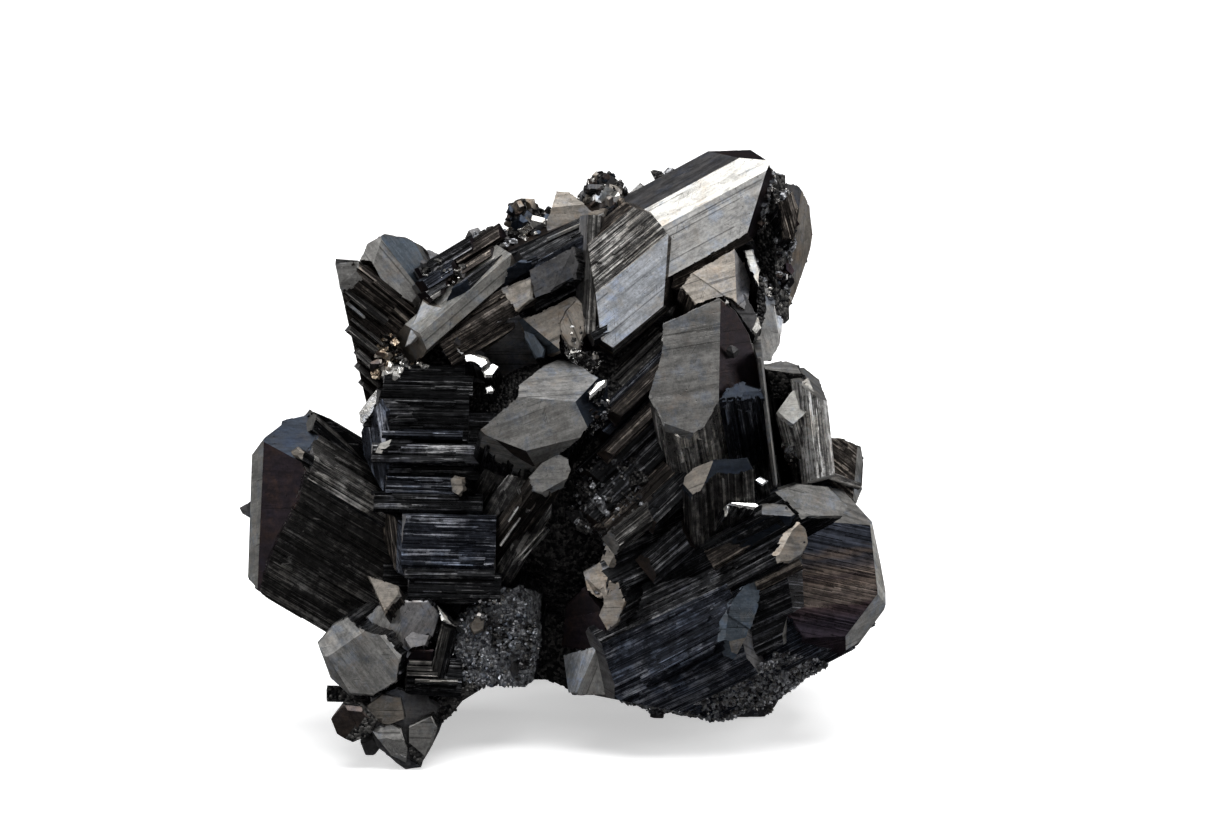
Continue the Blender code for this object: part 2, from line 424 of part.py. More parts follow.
def back():
    """The far side, where long crystals cross and shorter ones end, as they do on the front."""
    for name, start, end, out, half in (
        ("back_beam_a", (72.5, 27.5), (53.0, 42.0), 18.0, 4.6), ("back_beam_b", (50.0, 31.0), (42.5, 57.0), 15.0, 4.4),
        ("back_beam_c", (75.5, 39.0), (73.5, 61.0), 15.5, 4.6), ("back_beam_d", (69.0, 41.5), (51.0, 59.5), 22.5, 5.2),
        ("back_beam_e", (82.5, 50.0), (64.0, 65.5), 12.5, 4.4), ("back_beam_f", (59.0, 26.0), (45.0, 37.0), 11.5, 3.8),
        ("back_beam_g", (62.5, 40.0), (50.5, 44.5), 23.5, 3.4),
    ):
        run = (end[0] - start[0], end[1] - start[1])
        blade(name, (*start, -out), (*end, -out - 1.0),
              [(half, 0.6), (half * 0.6, -2.2), (-half * 0.5, -3.0), (-half, -0.8), (-half * 0.7, 9), (half * 0.7, 9)],
              ends=[((start[0] + 0.06 * run[0], start[1] + 0.06 * run[1], -out - 1.5), (-run[0], -run[1], -16)),
                    ((end[0] - 0.04 * run[0], end[1] - 0.04 * run[1], -out - 1.5), (run[0], run[1], -11))],
              pitch=1.8)
    rng = random.Random("back")
    for number, (across, down, out, wide, tall) in enumerate((
        (61.5, 34.5, 23.0, 5.6, 4.6), (72.5, 49.5, 23.5, 5.6, 4.8), (58.0, 51.0, 27.5, 6.4, 5.0),
        (78.5, 43.0, 15.0, 4.2, 4.6), (46.5, 42.5, 19.5, 4.8, 4.0), (62.5, 61.0, 24.5, 6.0, 4.4),
        (68.0, 31.0, 17.5, 4.6, 3.6), (52.0, 30.0, 14.0, 4.0, 3.4), (39.5, 50.5, 9.5, 4.6, 4.0),
        (74.0, 61.5, 15.0, 5.2, 4.0), (43.0, 61.5, 13.0, 4.6, 4.4), (82.5, 56.5, 7.5, 4.0, 4.4),
        (66.5, 55.5, 26.0, 4.8, 3.8), (49.0, 52.5, 22.0, 4.6, 4.2),
    )):
        tilt = rng.uniform(0, pi)
        outline = []
        for corner in range(6):
            angle = corner * pi / 3 + rng.uniform(-0.25, 0.25)
            u, v = wide * cos(angle), tall * sin(angle)
            outline.append((across + u * cos(tilt) - v * sin(tilt), down + u * sin(tilt) + v * cos(tilt)))
        fan = ((BACK_MIDDLE[0] - across) / 30.0, (BACK_MIDDLE[1] - down) / 30.0)
        first = rng.randrange(6)
        folds = [(outline[first], outline[(first + 2) % 6], rng.uniform(0.7, 1.5)),
                 (outline[(first + 3) % 6], outline[(first + 4) % 6], rng.uniform(0.3, 0.6))]
        stub(f"back_stub_{number:02d}", outline, near=out, lean=(0.5 * fan[0], 0.5 * fan[1]),
             axis=(fan[0], fan[1], -1.0), length=15, folds=folds, pitch=2.0, facing=-1)
    blade("heel", (54.6, 54.0, -21.0), (50.5, 72.0, -23.5),
          [(5.4, 1.0), (3.6, 3.6), (-3.5, 3.4), (-5.6, 0.6), (-3.6, -4.4), (3.0, -5.0)], pitch=2.4)
    blade("heel_spur", (56.5, 56.0, -22.0), (60.0, 72.0, -21.5),
          [(4.6, 0.8), (2.6, 2.6), (-3.0, 2.4), (-4.4, -1.0), (-1.6, -4.6), (2.8, -3.8)], pitch=2.4)


def core():
    """The intergrown middle that every crystal roots in."""
    bpy.ops.mesh.primitive_ico_sphere_add(subdivisions=2, radius=1.0, location=(0, 0, 0))
    heart = bpy.context.active_object
    heart.name = "heart"
    heart.data.transform(Matrix.Diagonal((19.0 * MM, 13.0 * MM, 17.0 * MM, 1.0)))
    heart.data.transform(Matrix.Translation(place(59.5, 46.5, -5.5)))
    return heart


def shells(form):
    """The form's separate closed shells, the largest first."""
    unseen = set(form.faces)
    found = []
    while unseen:
        shell = [unseen.pop()]
        for face in shell:
            for edge in face.edges:
                touching = [other for other in edge.link_faces if other in unseen]
                unseen.difference_update(touching)
                shell.extend(touching)
        found.append(shell)
    return sorted(found, key=len, reverse=True)


def one_solid(heart):
    """All growths joined to the heart as one closed solid, cut off level at the floor."""
    join = heart.modifiers.new("join", "BOOLEAN")
    join.operation = "UNION"
    join.operand_type = "COLLECTION"
    join.collection = growths
    join.solver = "MANIFOLD"
    evaluated = heart.evaluated_get(bpy.context.evaluated_depsgraph_get())
    mesh = bpy.data.meshes.new_from_object(evaluated)
    bpy.data.objects.remove(heart)

    form = bmesh.new()
    form.from_mesh(mesh)
    floor = bmesh.ops.bisect_plane(
        form, geom=form.verts[:] + form.edges[:] + form.faces[:], dist=1e-7, plane_co=(0, 0, 0),
        plane_no=(0, 0, -1), clear_outer=True
    )
    rim = [item for item in floor["geom_cut"] if isinstance(item, bmesh.types.BMEdge)]
    bmesh.ops.holes_fill(form, edges=rim, sides=0)
    for pocket in shells(form)[1:]:
        bmesh.ops.delete(form, geom=pocket, context="FACES")
    form.to_mesh(mesh)
    form.free()

    mesh.name = "chalcocite_cluster"
    mesh.materials.clear()
    mesh.materials.append(chalcocite_metal())
    cluster = bpy.data.objects.new("chalcocite_cluster", mesh)
    specimen.objects.link(cluster)
    return cluster


def chalcocite_metal():
    """Dark lead-grey, with a metallic lustre."""
    finish = bpy.data.materials.new("chalcocite_metal")
    finish.use_nodes = True
    shader = finish.node_tree.nodes["Principled BSDF"]
    shader.inputs["Base Color"].default_value = (0.075, 0.075, 0.082, 1.0)
    shader.inputs["Metallic"].default_value = 0.85
    shader.inputs["Roughness"].default_value = 0.38
    return finish


for leftover in list(bpy.data.objects):
    bpy.data.objects.remove(leftover)

specimen = bpy.data.collections.new("chalcocite")
growths = bpy.data.collections.new("growths")
for group in (specimen, growths):
    bpy.context.scene.collection.children.link(group)

heart = core()
for region in (lower_right, centre_right, top_right, middle_left, left_side, top_left, stack, centre,
               lower_left, crusts, back):
    region()

cluster = one_solid(heart)
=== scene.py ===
# %% [markdown]
# # Chalcocite: dressing one cluster of intergrown crystals
#
# Chalcocite is a copper sulphide. It grows as stout, lead-grey prisms that are striated along their
# length, cross one another at steep angles, and end in smooth flat faces. The lustre is metallic and
# dark: a face is nearly black until it mirrors a lamp. Thin tarnish turns it steel blue, bronze or
# violet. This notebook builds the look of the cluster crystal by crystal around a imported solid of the
# same shape, so the first step loads that solid and keeps its box.

import json
import random
from math import cos, hypot, pi, radians, sin

import bpy
import numpy as np
from mathutils import Euler, Matrix, Vector

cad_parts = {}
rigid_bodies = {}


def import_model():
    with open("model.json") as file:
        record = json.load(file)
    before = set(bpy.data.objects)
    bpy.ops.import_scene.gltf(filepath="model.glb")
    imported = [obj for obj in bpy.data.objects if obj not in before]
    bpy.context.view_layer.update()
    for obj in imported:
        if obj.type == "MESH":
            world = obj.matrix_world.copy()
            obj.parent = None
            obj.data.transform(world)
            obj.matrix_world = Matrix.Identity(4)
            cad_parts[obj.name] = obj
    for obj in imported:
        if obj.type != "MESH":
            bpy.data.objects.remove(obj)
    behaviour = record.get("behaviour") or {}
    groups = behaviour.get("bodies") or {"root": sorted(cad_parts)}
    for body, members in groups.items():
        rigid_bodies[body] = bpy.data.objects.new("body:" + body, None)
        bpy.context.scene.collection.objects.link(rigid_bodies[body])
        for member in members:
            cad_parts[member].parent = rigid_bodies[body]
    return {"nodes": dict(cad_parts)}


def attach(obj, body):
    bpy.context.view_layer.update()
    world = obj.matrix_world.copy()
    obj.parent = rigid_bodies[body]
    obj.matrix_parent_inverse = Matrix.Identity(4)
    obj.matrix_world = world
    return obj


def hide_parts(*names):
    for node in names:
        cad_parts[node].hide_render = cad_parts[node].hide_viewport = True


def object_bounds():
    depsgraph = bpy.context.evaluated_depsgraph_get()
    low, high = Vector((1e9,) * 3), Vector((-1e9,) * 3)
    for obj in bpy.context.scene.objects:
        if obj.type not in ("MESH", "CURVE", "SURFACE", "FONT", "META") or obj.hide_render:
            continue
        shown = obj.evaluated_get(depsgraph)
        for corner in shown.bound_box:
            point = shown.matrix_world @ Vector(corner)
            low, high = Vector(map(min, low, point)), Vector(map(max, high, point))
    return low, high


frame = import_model()
cad_low, cad_high = [list(corner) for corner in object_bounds()]
print("box of the solid in mm:", [round(1000 * v, 1) for v in (*cad_low, *cad_high)])

# %% [markdown]
# ## The drawing board
#
# Crystals are easier to draw than to dictate in x, y and z. Every outline below is drawn in millimetres
# on an upright board: across from its left edge, down from its top, and near, out of the board towards
# the viewer. The board leans back by 14 degrees when the specimen stands on a level surface.

# %% From the board to the model
MM = 0.001
BOARD_LEAN = radians(14.0)
BOARD_MIDDLE = 56.2  # across, above the model's origin
BOARD_FOOT = 75.9  # down, where the front foot is cut off level
FOOT_NEAR = 10.0  # near, at that foot
SET_BACK = 10.9  # from the board's plane at the floor back to the origin

LEAN = Matrix.Rotation(-BOARD_LEAN, 3, "X")
BOARD_ORIGIN = Vector((0.0, SET_BACK, (LEAN @ Vector((0.0, -FOOT_NEAR, 0.0))).z))


def heading(across, down, near):
    """A direction on the board, as a unit vector of the model."""
    return (LEAN @ Vector((across, -near, -down))).normalized()


def place(across, down, near):
    """A point on the board, as a point of the model in metres, with the floor at height 0."""
    return MM * (LEAN @ Vector((across - BOARD_MIDDLE, -near, BOARD_FOOT - down)) - BOARD_ORIGIN)


def on_board(points):
    """The other way: an array of points of the model, as across, down and near on the board."""
    turned = (np.asarray(points) / MM + np.array(BOARD_ORIGIN)) @ np.array(LEAN)
    return np.stack((turned[:, 0] + BOARD_MIDDLE, BOARD_FOOT - turned[:, 2], -turned[:, 1]), axis=1)


print("the middle of the board is at", [round(v / MM, 1) for v in place(BOARD_MIDDLE, 45.0, 0.0)], "mm")

# %% [markdown]
# ## Camera, lamps and floor
#
# The camera stands 0.9 m away and looks straight at the board, which is 14 degrees above the level,
# so a long lens keeps the outlines as drawn. A metallic face shows only what it mirrors. One wide
# soft box overhead lights the faces that lean back, a narrower one on each side draws light rims,
# and a faint panel at the front keeps the upright faces from going black. The floor is pale, but
# the crystals don't mirror it: their undersides stay dark, as they do over a deep table.

# %% Camera
VIEW_MIDDLE = (61.45, 40.95, 0.0)
VIEW_DISTANCE = 0.900
VIEW_WIDTH = 0.1229  # of the board, across the frame


def look(seen_from, at, up):
    """The matrix of an object that stands at a point and looks at another, with up as its top."""
    back = (seen_from - at).normalized()
    right = up.cross(back).normalized()
    turn = Matrix((right, back.cross(right), back)).transposed().to_4x4()
    turn.translation = seen_from
    return turn


lens = bpy.data.cameras.new("lens")
lens.sensor_width = 36.0
lens.lens = lens.sensor_width * VIEW_DISTANCE / VIEW_WIDTH
lens.clip_start, lens.clip_end = 0.01, 20.0
camera = bpy.data.objects.new("camera", lens)
bpy.context.scene.collection.objects.link(camera)
view_middle = place(*VIEW_MIDDLE)
camera.matrix_world = look(view_middle + heading(0, 0, 1) * VIEW_DISTANCE, view_middle,
                           heading(0, -1, 0))
bpy.context.scene.camera = camera
print("lens in mm:", round(lens.lens, 1))

# %% Lamps
LAMP_TARGET = Vector((0.0, 0.0, 0.028))
OVERHEAD = 0.9  # a lamp whose direction rises more than this takes its top from the Y axis


def soft_box(name, direction, distance, size, power):
    """A rectangular area lamp that faces the cluster from a direction."""
    lamp = bpy.data.lights.new(name, "AREA")
    lamp.shape = "RECTANGLE"
    lamp.size, lamp.size_y = size
    lamp.energy = power
    holder = bpy.data.objects.new(name, lamp)
    bpy.context.scene.collection.objects.link(holder)
    stand = LAMP_TARGET + Vector(direction).normalized() * distance
    top = Vector((0.0, 1.0, 0.0)) if abs(direction[2]) > OVERHEAD else Vector((0.0, 0.0, 1.0))
    holder.matrix_world = look(stand, LAMP_TARGET, top)


soft_box("overhead", (0.05, -0.10, 1.0), 0.60, (0.60, 0.50), 5.2)
soft_box("left_panel", (-1.0, -0.15, 0.25), 0.55, (0.30, 0.45), 1.7)
soft_box("right_panel", (1.0, 0.05, 0.35), 0.55, (0.25, 0.40), 1.5)
soft_box("front_fill", (0.1, -1.0, 0.55), 0.95, (0.50, 0.30), 0.9)

sky = bpy.data.worlds.new("studio")
sky.use_nodes = True
sky.node_tree.nodes["Background"].inputs["Color"].default_value = (0.035, 0.036, 0.04, 1.0)
bpy.context.scene.world = sky
bpy.context.scene.view_settings.view_transform = "Standard"

# %% Floor
FLOOR_SIZE = 6.0
FLOOR_GAP = 0.00002  # keeps the floor from sharing the plane of the broken feet

bpy.ops.object.select_all(action="DESELECT")
bpy.ops.mesh.primitive_plane_add(size=FLOOR_SIZE, location=(0.0, 0.0, -FLOOR_GAP))
floor = bpy.context.active_object
floor.name = "studio_floor"
floor.visible_glossy = False
paper = bpy.data.materials.new("floor_paper")
paper.use_nodes = True
paper_shader = paper.node_tree.nodes["Principled BSDF"]
paper_shader.inputs["Base Color"].default_value = (0.90, 0.90, 0.90, 1.0)
paper_shader.inputs["Roughness"].default_value = 0.9
paper_shader.inputs["Emission Color"].default_value = (1.0, 1.0, 1.0, 1.0)
paper_shader.inputs["Emission Strength"].default_value = 0.5
floor.data.materials.append(paper)

# %% [markdown]
# ## Finishes
#
# Shader maths reads best as ordinary Python, so one small class wraps a socket: `2 * noise - 1`
# adds the Math nodes by itself. Three families of finish cover the whole cluster. A *face* is the
# smooth end of a crystal, with faint growth lines, pits and cloudy tarnish. *Striae* are the ribbed
# sides: their pattern is drawn across the crystal and stretched along it, on a UV map in
# millimetres, and bright lines painted on their ribs stand for rib edges catching the lamps. A
# *crust* is late, sugary material. Each crystal also carries a `tone`, a number for every flat of
# its mesh. Its spread keeps neighbouring ledges from having quite the same depth of colour, and the
# value given to each crystal paints the whole crystal lighter or darker, partly its own colour and
# partly painted light and shade for how brightly the lamps catch it.

# %% Shader maths as Python
class Value:
    """One socket of a material's nodes, with Python's operators standing for Math nodes."""

    def __init__(self, tree, socket):
        self.tree = tree
        self.socket = socket

    def node(self, kind, settings, inputs, output=0):
        """Any node: its settings first, then the values or links of its sockets."""
        added = self.tree.nodes.new(kind)
        for setting, value in settings.items():
            if setting == "stops":
                while len(added.color_ramp.elements) < len(value):
                    added.color_ramp.elements.new(0.5)
                for stop, (position, colour) in zip(added.color_ramp.elements, value):
                    stop.position, stop.color = position, (*colour, 1.0)
            else:
                setattr(added, setting, value)
        for name, value in inputs.items():
            if isinstance(value, Value):
                self.tree.links.new(value.socket, added.inputs[name])
            else:
                added.inputs[name].default_value = value
        return Value(self.tree, added.outputs[output])

    def math(self, operation, *values):
        inputs = dict(enumerate((self, *values)))
        return self.node("ShaderNodeMath", {"operation": operation}, inputs)

    def __add__(self, other):
        return self.math("ADD", other)

    def __sub__(self, other):
        return self.math("SUBTRACT", other)

    def __mul__(self, other):
        return self.math("MULTIPLY", other)

    def __rsub__(self, other):
        return self.node("ShaderNodeMath", {"operation": "SUBTRACT"}, {0: other, 1: self})

    __radd__ = __add__
    __rmul__ = __mul__

    def between(self, low, high):
        """0 below low, 1 above high, and a smooth step between."""
        inputs = {"Value": self, "From Min": low, "From Max": high}
        return self.node("ShaderNodeMapRange", {"interpolation_type": "SMOOTHSTEP"}, inputs)

    def rescaled(self, low, reach):
        """low where this is 0, low + reach where it is 1."""
        return low + reach * self

    def mix(self, first, second):
        """first where this is 0, second where it is 1; both are colours."""
        colours = [value if isinstance(value, Value) else (*value, 1.0) for value in (first, second)]
        inputs = {0: self, 6: colours[0], 7: colours[1]}
        return self.node("ShaderNodeMix", {"data_type": "RGBA"}, inputs, output=2)

    def tinted(self, factor):
        """This colour times a grey factor."""
        return self.node("ShaderNodeVectorMath", {"operation": "SCALE"}, {0: self, "Scale": factor})

    def stretched(self, across, along, away=1.0):
        """These coordinates scaled on each axis."""
        inputs = {0: self, 1: (across, along, away)}
        return self.node("ShaderNodeVectorMath", {"operation": "MULTIPLY"}, inputs)

    def ramp(self, stops):
        """The colour at this value on a ramp of (position, colour) stops."""
        return self.node("ShaderNodeValToRGB", {"stops": stops}, {"Fac": self})

    def noise(self, scale, detail=3.0, roughness=0.55, distortion=0.0):
        inputs = {"Vector": self, "Scale": scale, "Detail": detail, "Roughness": roughness,
                  "Distortion": distortion}
        return self.node("ShaderNodeTexNoise", {}, inputs)


def start_finish(name):
    """A new material, its shader, and what its patterns read: the place in millimetres, the place
    across and along the growth, and the tone."""
    finish = bpy.data.materials.new(name)
    finish.use_nodes = True
    tree = finish.node_tree
    shader = tree.nodes["Principled BSDF"]
    start = Value(tree, None)
    here = start.node("ShaderNodeTexCoord", {}, {}, output="Object")
    here = here.stretched(1.0 / MM, 1.0 / MM, 1.0 / MM)
    grown = start.node("ShaderNodeUVMap", {"uv_map": "growth"}, {})
    tone = start.node("ShaderNodeAttribute", {"attribute_name": "tone"}, {}, output="Fac")
    return finish, shader, here, grown, tone


def feed(shader, colour, roughness, height, relief, metal):
    """Link a colour, a roughness and a height, with relief in millimetres, to the shader, and say how
    metallic it is."""
    tree = colour.tree
    tree.links.new(colour.socket, shader.inputs["Base Color"])
    tree.links.new(roughness.socket, shader.inputs["Roughness"])
    inputs = {"Height": height, "Distance": relief * MM, "Strength": 1.0}
    bump = height.node("ShaderNodeBump", {}, inputs)
    tree.links.new(bump.socket, shader.inputs["Normal"])
    shader.inputs["Metallic"].default_value = metal


def sheets(grown, width, length, seed):
    """The thin sheets that a crystal is built of, about width and length millimetres: a random number
    for every sheet, and a height that tilts every sheet its own way."""
    parts = grown.node("ShaderNodeSeparateXYZ", {}, {"Vector": grown}, output="X")
    along = Value(parts.tree, parts.socket.node.outputs["Y"])
    uneven = grown.stretched(0.55 / width, 0.0).noise(1.0, detail=1.0)
    row = parts * (1.0 / width) + 1.3 * uneven + seed
    number = row.math("FLOOR")
    start = number.node("ShaderNodeTexWhiteNoise", {"noise_dimensions": "1D"}, {"W": number})
    stretch = (along * (1.0 / length) + 17.0 * start).math("FLOOR")
    key = number.node("ShaderNodeCombineXYZ", {}, {"X": number, "Y": stretch, "Z": seed})
    chance = key.node("ShaderNodeTexWhiteNoise", {"noise_dimensions": "3D"}, {"Vector": key})
    tilt = (row.math("FRACT") - 0.5) * (chance - 0.5)
    return chance, tilt


# %% The families
FACE_RELIEF, BAND_RELIEF, STRIAE_RELIEF, CRUST_RELIEF = 0.024, 0.06, 0.075, 0.22
FACE_METAL, STRIAE_METAL, CRUST_METAL = 0.88, 0.90, 0.85
BLOOM_TINT = (0.72, 0.86, 1.12)  # what a breath of blue tarnish does to a grey
BAND_TILT = 0.10  # rise of the bands per mm to the left


def face_finish(name, grey, cloud, rough, tarnish=0.45):
    """The smooth end of a crystal: grey is its colour, for the lit and shaded copies a grey painted
    lighter or darker for how the lamps catch the face, and cloud is the tarnish that drifts over it.
    """
    finish, shader, here, grown, tone = start_finish(name)
    mottle = here.noise(0.8, detail=7.0, roughness=0.78)
    blotch = here.noise(0.42, detail=5.0, roughness=0.7, distortion=0.4)
    bloom = here.stretched(-1.0, 1.0, 1.0).noise(0.5, detail=5.0, roughness=0.7)
    drift = (0.75 * blotch + 0.5 * (mottle - 0.5)).between(0.52 - tarnish * 0.35, 0.62)
    specks = 1.0 - here.noise(4.2, detail=2.0, roughness=0.6).between(0.30, 0.42)
    cells = here.node("ShaderNodeTexVoronoi", {"feature": "F1"}, {"Vector": here, "Scale": 1.0})
    pits = 1.0 - cells.between(0.04, 0.11)
    grain = here.noise(3.2, detail=3.0, roughness=0.7)
    layers, slope = sheets(grown, 1.3, 40.0, 3.0)
    hairs, _ = sheets(grown, 0.07, 3.0, 8.0)
    steps, _ = sheets(grown, 0.13, 14.0, 6.0)
    patch = here.noise(0.4, detail=3.0)
    hair = 0.6 * hairs.between(0.88, 0.92) * patch.between(0.46, 0.60) + steps.between(0.965, 0.968)
    turned = grown.node("ShaderNodeMapping", {"vector_type": "TEXTURE"},
                        {"Vector": grown, "Rotation": (0.0, 0.0, 0.9)})
    scores, _ = sheets(turned, 0.08, 0.9, 12.0)
    score = scores.between(0.95, 0.96) * here.noise(0.5, detail=1.0).between(0.56, 0.62)
    brushed = grown.stretched(1.5, 0.22).noise(1.0, detail=5.0, roughness=0.7)
    clouds = 0.5 * mottle + 0.6 * brushed - 0.05
    # tone lightens or darkens the whole face; the value given to each crystal is partly painted light
    # and shade.
    shade = (0.40 + 1.2 * tone) * clouds.between(0.36, 0.66).rescaled(0.60, 0.80)
    shade = shade * (0.92 + 0.16 * layers)
    shade = shade * grain.between(0.34, 0.66).rescaled(0.93, 0.14)
    for mark, loss in ((specks, 0.20), (pits, 0.45), (hair, 0.45), (score, 0.35)):
        shade = shade * (1.0 - loss * mark)
    colour = drift.mix(grey, cloud)
    blued = [part * channel for part, channel in zip(BLOOM_TINT, grey)]
    colour = (0.55 * bloom.between(0.50, 0.66)).mix(colour, blued)
    roughness = rough + 0.24 * (mottle - 0.5) + 0.10 * drift + 0.12 * pits + 0.10 * specks
    height = 0.8 * mottle + 0.4 * brushed + 0.35 * slope
    for mark, depth in ((specks, 0.15), (pits, 0.7), (hair, 0.4), (score, 0.2)):
        height = height - depth * mark
    feed(shader, colour.tinted(shade), roughness, height, FACE_RELIEF, FACE_METAL)
    return finish


def banded_finish(name, foot, top, bands, rough):
    """An end face crossed by level bands, where two kinds of sheet took turns to stop. bands are the
    colours from foot to top, heights in metres, each with the share of the height it ends at."""
    finish, shader, here, grown, _ = start_finish(name)
    height = here.node("ShaderNodeSeparateXYZ", {}, {"Vector": here}, output="Z")
    across = Value(height.tree, height.socket.node.outputs["X"])
    narrow, slope = sheets(grown, 0.34, 30.0, 2.0)
    fine, tilt = sheets(grown, 0.11, 12.0, 5.0)
    mottle = here.noise(0.9, detail=7.0, roughness=0.76)
    waver = here.noise(0.35, detail=2.0) - 0.5
    span = (top - foot) / MM
    level = height + BAND_TILT * across + 0.8 * waver - (foot / MM + BAND_TILT * BAND_MIDDLE)
    level = level * (1.0 / span) + 0.04 * (narrow - 0.5)
    streaks = (0.80 + 0.16 * fine + 0.20 * narrow) * mottle.between(0.32, 0.66).rescaled(0.5, 1.0)
    colour = level.ramp(bands).tinted(streaks)
    roughness = rough + 0.22 * (fine - 0.5) + 0.20 * (mottle - 0.5)
    height = 0.6 * slope + 0.5 * tilt + 0.25 * fine + 0.4 * mottle
    feed(shader, colour, roughness, height, BAND_RELIEF, FACE_METAL)
    return finish


def striae_finish(name, deep, painted_crest_light, cloud, rough, light=0.5):
    """The ribbed side of a crystal: deep in its grooves, a painted highlight colour on its ribs where a
    rib edge would catch a lamp, cloud where it is tarnished. light is how many of its sheets get the
    painted highlight."""
    finish, shader, here, grown, tone = start_finish(name)
    broad, broad_tilt = sheets(grown, 0.55, 14.0, 1.0)
    narrow, narrow_tilt = sheets(grown, 0.19, 5.0, 4.0)
    fine, fine_tilt = sheets(grown, 0.085, 2.2, 7.0)
    drift = here.noise(0.30, detail=5.0, distortion=0.5).between(0.44, 0.60)
    grime = here.noise(0.9, detail=7.0, roughness=0.78)
    dust = here.noise(5.0, detail=2.0).between(0.64, 0.72)
    lines = grown.stretched(4.0, 0.10).noise(1.0, detail=5.0, roughness=0.72)
    level = 0.22 * broad + 0.26 * narrow + 0.20 * fine + 0.9 * (lines - 0.5) + 0.16 * (tone - 0.5)
    # Painted highlight: raised sheets take the bright crest colour, light painted where rib edges would
    # catch a lamp.
    painted_crest_mask = (level + 0.5 * (grime - 0.5)).between(0.49 - 0.24 * light, 0.73 - 0.18 * light)
    colour = painted_crest_mask.mix(deep, drift.mix(painted_crest_light, cloud))
    # tone lightens or darkens the whole side; the value given to each crystal is partly painted light
    # and shade.
    shade = (0.35 + 1.1 * tone) * grime.between(0.3, 0.68).rescaled(0.50, 1.0) + 0.45 * dust
    colour = colour.tinted(shade)
    roughness = rough + 0.16 * (narrow - 0.5) + 0.30 * (grime - 0.5) + 0.12 * dust
    height = 0.30 * broad + 0.40 * narrow + 0.30 * fine
    height = height + 0.6 * broad_tilt + 0.7 * narrow_tilt + 0.5 * fine_tilt
    height = height + 0.5 * lines + 0.6 * grime + 0.05 * dust
    feed(shader, colour, roughness, height, STRIAE_RELIEF, STRIAE_METAL)
    return finish


def crust_finish(name, dark, light, rough, size):
    """Late sugary material: every crumb, about size millimetres across, has its own brightness."""
    finish, shader, here, _, tone = start_finish(name)
    inputs = {"Vector": here, "Scale": 1.0 / size}
    crumb = here.node("ShaderNodeTexVoronoi", {"feature": "F1"}, inputs, output="Color")
    crumb = crumb.node("ShaderNodeSeparateColor", {}, {"Color": crumb})
    sides = here.node("ShaderNodeTexVoronoi", {"feature": "F1"}, inputs)
    grime = here.noise(0.7, detail=5.0)
    fine = here.noise(5.0, detail=3.0)
    colour = (0.65 * crumb + 0.35 * tone).between(0.25, 0.95).mix(dark, light)
    colour = colour.tinted(0.45 + 0.8 * grime)
    roughness = rough + 0.35 * (fine - 0.5) + 0.15 * (crumb - 0.5)
    height = 0.7 * crumb - 0.9 * sides + 0.5 * fine
    feed(shader, colour, roughness, height, CRUST_RELIEF, CRUST_METAL)
    return finish


# %% [markdown]
# Smooth faces run from near white to bronze, steel blue and violet, and the ribbed sides from black
# to light grey. Bronze, steel blue, dusk, violet and warm are thin films of tarnish on the grey, so
# their numbers stay close together. The plain greys are painted light and shade: slate for faces
# turned from the lamps, silver and pale for faces that mirror them, and near white for painted glints.
# The grey and pale striae are lit copies of the black striae in the same way.

